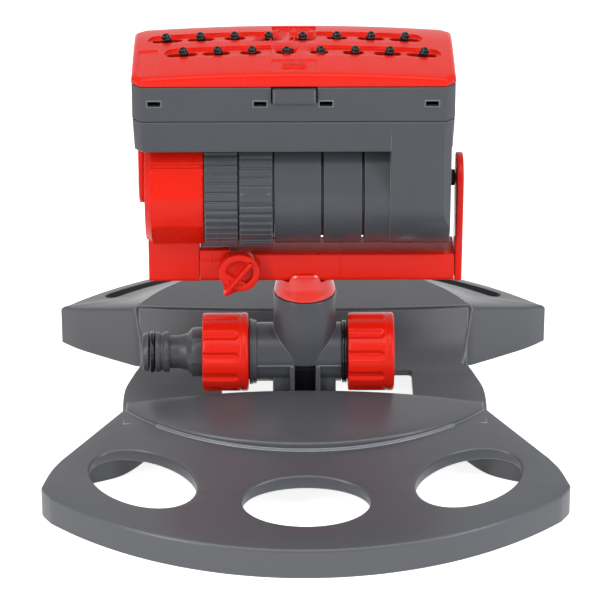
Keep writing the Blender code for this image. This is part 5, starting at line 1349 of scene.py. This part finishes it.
def pictograms():
    """Plain signs for the spray: a fan, a double arrow and a row of jets."""
    x = HEAD_MID
    strokes = []
    for i in range(-3, 4):
        t = radians(16 * i)
        for near, far in ((0.0022, 0.0036), (0.0044, 0.0056)):
            strokes.append(((x + near * 1.5 * sin(t), 0.0142 + near * cos(t)),
                            (x + far * 1.5 * sin(t), 0.0142 + far * cos(t))))
    strokes.append(((x, -0.0046), (x, 0.0092)))
    for end, sign in ((-0.0046, 1), (0.0092, -1)):
        for side in (-1, 1):
            strokes.append(((x, end), (x + side * 0.0018, end + sign * 0.0022)))
    for i in range(-4, 5):
        strokes.append(((x + i * 0.0011, -0.0200), (x + i * 0.0011, -0.0170)))
    strokes.append(((x - 0.0052, -0.0212), (x + 0.0052, -0.0212)))
    return [bar_relief(a, b) for a, b in strokes]


def cover_form():
    """The red cover: rolled edge, crowned top with sunk strips, openings and plain signs."""
    low = BAND_HIGH + 0.0003
    loops = head_loops(((0.0003, low), (0.0, low + 0.0003)))
    for share, fall in rolled(1.0, 6):
        inner = head_loop(COVER_ROLL * share, SIDE_ROLL * share, REAR_ROLL * share)
        loops.append([(x, y, cover_height(x, y) - COVER_ROLL * fall) for x, y in inner])
    skirt = stack("skirt", loops, caps=False)
    work = cover_top(inner)
    work.from_mesh(skirt.data)
    bpy.data.objects.remove(skirt, do_unlink=True)
    levels = ((0.0003, low), (0.0022, low), (0.0022, low + 0.0020))
    rims = [[work.verts.new(point) for point in loop] for loop in head_loops(levels)]
    for outer, deeper in zip(rims, rims[1:]):
        strip(work, outer, deeper)
    assemble("cover", "red", [new_object("top", work)] + pictograms())


def band_form():
    """Upper housing: an open band with framed snap windows and the notch for the tab."""
    low, high = TRAY_HIGH, BAND_HIGH
    band = stack("upper_housing_form", head_loops(
        ((0.0004, low), (0.0001, low + 0.0003), (0.0001, high - 0.0003), (0.0004, high),
         (0.0024, high), (0.0024, low))), wrap=True)
    for middle in (HEAD_MID + x for x in SNAPS):
        window = rectangle(middle - 0.0026, low + 0.0068, middle + 0.0026, low + 0.0090)
        cut(band, extrude("snap", rounded(window, 0.0003), HEAD_FRONT - 0.0010,
                          HEAD_FRONT + 0.0040, TO_Y, 0.0))
    for y in (HEAD_FRONT, HEAD_BACK):
        plan = rectangle(HEAD_MID - 0.00955, y - 0.0032, HEAD_MID + 0.00955, y + 0.0032)
        cut(band, prism("notch", plan, TAB_LOW - 0.0003, BAND_HIGH + 0.0010))
    parts = [tidy(band)]
    for middle in (HEAD_MID + x for x in SNAPS):
        rim = rounded(rectangle(middle - 0.0031, low + 0.0063, middle + 0.0031, low + 0.0095),
                      0.0004)
        rims = []
        for grow, depth in ((0.0, HEAD_FRONT + 0.0004), (0.0001, HEAD_FRONT - 0.0001),
                            (0.0004, HEAD_FRONT - 0.0002), (0.0005, HEAD_FRONT + 0.0006)):
            rims.append([(a, depth, b) for a, b in inset(rim, grow)])
        parts.append(stack("frame", rims, wrap=True))
    assemble("upper_housing", "grey", parts)


def tray_form():
    """Lower housing: tray, barrel with slits, drum for the rings and the right leg."""
    levels = [(0.0016, TRAY_LOW), (0.0012, TRAY_LOW + 0.0001), (0.0009, TRAY_LOW + 0.0004),
              (0.0008, TRAY_LOW + 0.0010), (0.0002, TRAY_HIGH - 0.0007),
              (0.0006, TRAY_HIGH - 0.0003)]
    tray = stack("lower_housing_form", head_loops(levels))
    clear = on_pivot("clear", [(0.0, BARREL_LEFT), (RING_RADIUS + 0.0010, BARREL_LEFT),
                               (RING_RADIUS + 0.0010, HEAD_LEFT - 0.01), (0.0, HEAD_LEFT - 0.01)])
    cut(tray, clear)
    profile = [(0.0, LEG_LEFT + 0.0020), (BARREL_RADIUS, LEG_LEFT + 0.0020)]
    for x in reversed(SLITS):
        profile += [(BARREL_RADIUS, x + 0.0006, 0.0002), (BARREL_RADIUS - 0.0030, x + 0.0005),
                    (BARREL_RADIUS - 0.0030, x - 0.0005), (BARREL_RADIUS, x - 0.0006, 0.0002)]
    profile += [(BARREL_RADIUS, BARREL_LEFT, 0.0003), (0.0, BARREL_LEFT)]
    barrel = on_pivot("barrel", soft(profile))
    core = [(0.0, BARREL_LEFT + 0.0010)]
    for x, gap in ((BARREL_LEFT, RING_GAPS[0]),
                   (BARREL_LEFT - RING_GAPS[0] - RING_WIDTH, RING_GAPS[1])):
        core += [(0.0202, x - 0.00005), (0.0260, x - 0.00005), (0.0260, x - gap + 0.00005),
                 (0.0202, x - gap + 0.00005)]
    core.append((0.0202, BOX_RIGHT + 0.0001))
    drum = on_pivot("drum", core + [(0.0, core[-1][1])])
    half = -HEAD_FRONT - 0.0004
    deep = BARREL_RADIUS + 0.0001
    rear = HEAD_BACK - 0.0009
    curve = [(half * cos(t) * (1.0 if cos(t) < 0 else rear / half), PIVOT_Z + deep * sin(t))
             for t in (pi + pi * i / 56 for i in range(57))]
    side = curve + [(rear, TRAY_HIGH - 0.0010), (-half, TRAY_HIGH - 0.0010)]
    leg = extrude("lower_housing_leg", side, LEG_LEFT, HEAD_RIGHT - 0.0012, TO_X, 0.0003)
    c = HEAD_CHAMFER
    for edge, sign in ((-half, -1), (rear, 1)):
        corner = [(HEAD_RIGHT - 0.0006 - c, edge + sign * 0.0004),
                  (HEAD_RIGHT + c, edge + sign * c), (HEAD_RIGHT + c, edge - sign * 0.5 * c),
                  (HEAD_RIGHT - 0.0002, edge - sign * (c - 0.0002))]
        cut(leg, prism("chamfer", corner[::sign], 0.0850, TRAY_LOW + 0.02))
    tidy(leg)
    stub = on_pivot("stub", [(0.0, ARM_LEFT + 0.0020), (0.0020, ARM_LEFT + 0.0020),
                             (0.0020, HEAD_RIGHT - 0.0020), (0.0, HEAD_RIGHT - 0.0020)], 32)
    assemble("lower_housing", "grey", [tidy(tray), barrel, drum, leg, stub])


def slider_form():
    """The width slider's two tabs and the plate between them."""
    parts = []
    level = TRAY_HIGH + 0.0104
    for edge, sign in ((HEAD_FRONT, -1), (HEAD_BACK, 1)):
        outer = edge + sign * 0.0015
        inner = edge - sign * 0.0011
        low = (HEAD_MID - TAB_HALF, min(outer, inner), TAB_LOW)
        high = (HEAD_MID + TAB_HALF, max(outer, inner), BAND_HIGH - 0.0003)
        parts.append(block("tab", low, high, 0.0004))
        reach = edge - sign * 0.0080
        parts.append(block("reach", (HEAD_MID - TAB_HALF + 0.0004, min(reach, inner), level),
                           (HEAD_MID + TAB_HALF - 0.0004, max(reach, inner), level + 0.0018),
                           0.0002))
        near, far = (0.00015, 0.0004) if sign < 0 else (0.0004, 0.00015)
        for side in (-1, 1):
            x = HEAD_MID + side * (TAB_HALF - 0.0004)
            parts.append(block("rail", (x - 0.0003, outer - near, TAB_LOW + 0.0006),
                               (x + 0.0003, outer + far, BAND_HIGH - 0.0010), 0.00012))
    plate = rectangle(HEAD_LEFT + 0.0040, HEAD_FRONT + 0.0072,
                      HEAD_RIGHT - 0.0040, HEAD_BACK - 0.0072)
    parts.append(extrude("plate", rounded(plate, 0.0015), level, level + 0.0018, TO_Z, 0.0002))
    assemble("width_slider", "grey", parts)


def ring_reach(turn, pads):
    """Outer radius of a reach ring: leaning ridges, and smooth pads."""
    for middle, half in pads:
        off = abs((turn - middle + pi) % tau - pi)
        if off < half:
            return RING_RADIUS - 0.0001
        if off < half + radians(1.6):
            return RING_RADIUS - 0.0008
    share = (turn * RING_TEETH / tau) % 1.0
    if share < 0.16:
        return RING_RADIUS - 0.0009 * (1 - share / 0.16) ** 2
    if share < 0.78:
        return RING_RADIUS - 0.0002 * ((share - 0.16) / 0.62) ** 2
    return RING_RADIUS - 0.0002 - 0.0007 * ((share - 0.78) / 0.22) ** 0.7


def ring_forms():
    """The two ridged reach rings."""
    right_high = BARREL_LEFT - RING_GAPS[0]
    left_high = right_high - RING_WIDTH - RING_GAPS[1]
    steps = RING_TEETH * 14
    rings = (("reach_ring_left", left_high, 0.4, ()),
             ("reach_ring_right", right_high, 0.0, ((pi - radians(10.5), radians(6.5)),
                                                    (pi + radians(36.0), radians(4.5)))))
    for name, high, shift, pads in rings:
        low = high - RING_WIDTH
        loops = []
        for x, drawn in ((low, 0.0007), (low + 0.0002, 0.0003), (low + 0.0006, 0.0),
                         (high - 0.0006, 0.0), (high - 0.0002, 0.0003), (high, 0.0007)):
            loops.append(around(x, PIVOT_Z, steps, lambda t: ring_reach(
                t + shift * tau / RING_TEETH, pads) - drawn))
        loops += [around(x, PIVOT_Z, steps, lambda t: RING_BORE) for x in (high, low)]
        parts = [stack(name + "_form", loops, wrap=True)]
        for side in (-1, 1) if pads else ():
            x = (low + high) / 2 + side * 0.0054
            t = pads[0][0]
            place = Vector((x, RING_RADIUS * cos(t), PIVOT_Z + RING_RADIUS * sin(t)))
            point = [(-side * 0.0006, 0.0), (side * 0.0006, -side * 0.0009),
                     (side * 0.0006, side * 0.0009)]
            mark = extrude("mark", point, -0.0004, 0.0003, TO_Y, 0.0)
            mark.data.transform(Matrix.Rotation(pi - t, 4, "X"))
            mark.data.transform(Matrix.Translation(place))
            parts.append(mark)
        assemble(name, "grey", parts)


def nozzle_forms():
    """Sixteen rubber tips, each with a bead, a groove and a bore, leaning outward."""
    for row, number, x, y in nozzle_places():
        node = f"nozzle_{'front' if row == 0 else 'rear'}_{number}"
        level = cover_height(x, y) - BALL_Z
        top = level + NOZZLE_RISE + NOZZLE_REACH * abs(x - HEAD_MID)
        root = level - NOZZLE_BEND
        tip = soft([
            (0.0, top - 0.0014), (0.0007, top - 0.0014, 0.0002), (0.0008, top - 0.0001, 0.0001),
            (0.0012, top, 0.0001), (0.0017, top - 0.0003, 0.0003), (0.00185, top - 0.0011, 0.0002),
            (0.0016, top - 0.0013, 0.0001), (0.0016, top - 0.0016, 0.0001),
            (0.0019, top - 0.0018, 0.0002), (0.0019, top - 0.0026, 0.0002),
            (0.0016, top - 0.0028, 0.0001), (0.0016, root, 0.0004), (0.0015, root - 0.0008),
            (0.0015, 0.0024, 0.0003), (0.0027, 0.0, 0.0012), (0.0012, -0.0021, 0.0006),
            (0.0, -0.0021)])
        made = lathe(node + "_form", tip, steps=28)
        lean = Matrix.Rotation((x - HEAD_MID) * NOZZLE_FAN, 4, "Y")
        for vertex in made.data.vertices:
            above = vertex.co.z - root
            if above > 0:
                vertex.co = lean @ Vector((*vertex.co.xy, above)) + Vector((0, 0, root))
        made.data.transform(Matrix.Translation((x + 0.0003, y, BALL_Z)))
        wear(made, "gloss", node)


def bush_form():
    """The black bush between the arm and the head's right end."""
    profile = soft([(0.0023, ARM_LEFT - 0.0006), (0.0034, ARM_LEFT - 0.0006, 0.0004),
                    (0.0036, HEAD_RIGHT - 0.0009, 0.0004), (0.0023, HEAD_RIGHT - 0.0009)])
    wear(on_pivot("pivot_bush_form", profile + [profile[0]], 48), "rubber", "pivot_bush")


FORMS = (base_form, fitting_forms, tee_form, bar_forms, collar_form, gearbox_forms, knob_form,
         ear_form, cover_form, band_form, tray_form, slider_form, ring_forms, nozzle_forms,
         bush_form)

# Studio
WORLD_LIGHT = 0.42
FLOOR_GLOW = 0.86


def camera():
    made = placed("camera", bpy.data.cameras.new("camera"))
    made.data.lens = CAMERA_LENS
    made.data.sensor_width = CAMERA_SENSOR
    level = cos(CAMERA_PITCH)
    back = Vector((sin(CAMERA_TURN) * level, -cos(CAMERA_TURN) * level, sin(CAMERA_PITCH)))
    made.location = CAMERA_TARGET + back * CAMERA_DISTANCE
    made.rotation_euler = (pi / 2 - CAMERA_PITCH, 0, CAMERA_TURN)
    bpy.context.scene.camera = made
    bpy.context.scene.view_settings.view_transform = "Standard"


def area_light(name, place, aim, size, power, colour):
    light = bpy.data.lights.new(name, "AREA")
    light.shape = "RECTANGLE"
    light.size, light.size_y = size
    light.energy = power
    light.color = colour
    made = placed(name, light)
    made.location = place
    made.rotation_euler = (Vector(place) - Vector(aim)).to_track_quat("Z", "Y").to_euler()


def white_world():
    """Dim light on the object, plain white to the camera."""
    world = bpy.data.worlds.new("studio")
    bpy.context.scene.world = world
    world.use_nodes = True
    tree = world.node_tree
    back = tree.nodes["Background"]
    back.inputs["Color"].default_value = (1, 1, 1, 1)
    shown = seen_directly(tree)
    strength = tree.nodes.new("ShaderNodeMapRange")
    strength.inputs["To Min"].default_value = WORLD_LIGHT
    strength.inputs["To Max"].default_value = 1.0
    tree.links.new(shown, strength.inputs["Value"])
    tree.links.new(strength.outputs["Result"], back.inputs["Strength"])


def seen_directly(tree):
    """One for camera, mirror and glass rays, none for rays that light the object."""
    path = tree.nodes.new("ShaderNodeLightPath")
    shown = path.outputs["Is Camera Ray"]
    for name in ("Is Glossy Ray", "Is Transmission Ray"):
        most = tree.nodes.new("ShaderNodeMath")
        most.operation = "MAXIMUM"
        tree.links.new(shown, most.inputs[0])
        tree.links.new(path.outputs[name], most.inputs[1])
        shown = most.outputs["Value"]
    return shown


def floor():
    """A pale floor that looks nearly white and keeps the object's shadow."""
    work = bmesh.new()
    bmesh.ops.create_grid(work, x_segments=1, y_segments=1, size=4.0)
    made = new_object("studio_floor", work)
    graph = Graph("studio_floor")
    graph.set("Base Color", (0.80, 0.80, 0.80, 1))
    graph.set("Roughness", 0.7)
    graph.set("Emission Color", (1, 1, 1, 1))
    glow = graph.ramp(seen_directly(graph.tree), 0.0, 1.0, 0.0, FLOOR_GLOW)
    graph.link(glow, graph.shader.inputs["Emission Strength"])
    made.data.materials.append(graph.material)


def main():
    camera()
    white_world()
    floor()
    area_light("key", (1.05, -0.78, 0.66), (0, 0, 0.09), (0.30, 1.00), 9.5, (0.93, 0.97, 1.08))
    area_light("fill", (-0.88, -0.88, 0.66), (0, 0, 0.08), (0.25, 1.00), 9.5, (1.02, 1.0, 0.97))
    area_light("top", (0.0, -0.45, 1.25), (0, -0.02, 0.03), (1.2, 0.8), 8.5, (1.0, 1.0, 1.0))
    for build in FORMS:
        build()
    for node, made in frame["nodes"].items():
        if node not in DRESSED:
            slot = made.data.materials[0].name if made.data.materials else "red_plastic"
            skin(node, next((SLOTS[s] for s in SLOTS if slot.startswith(s)), "red"))


main()
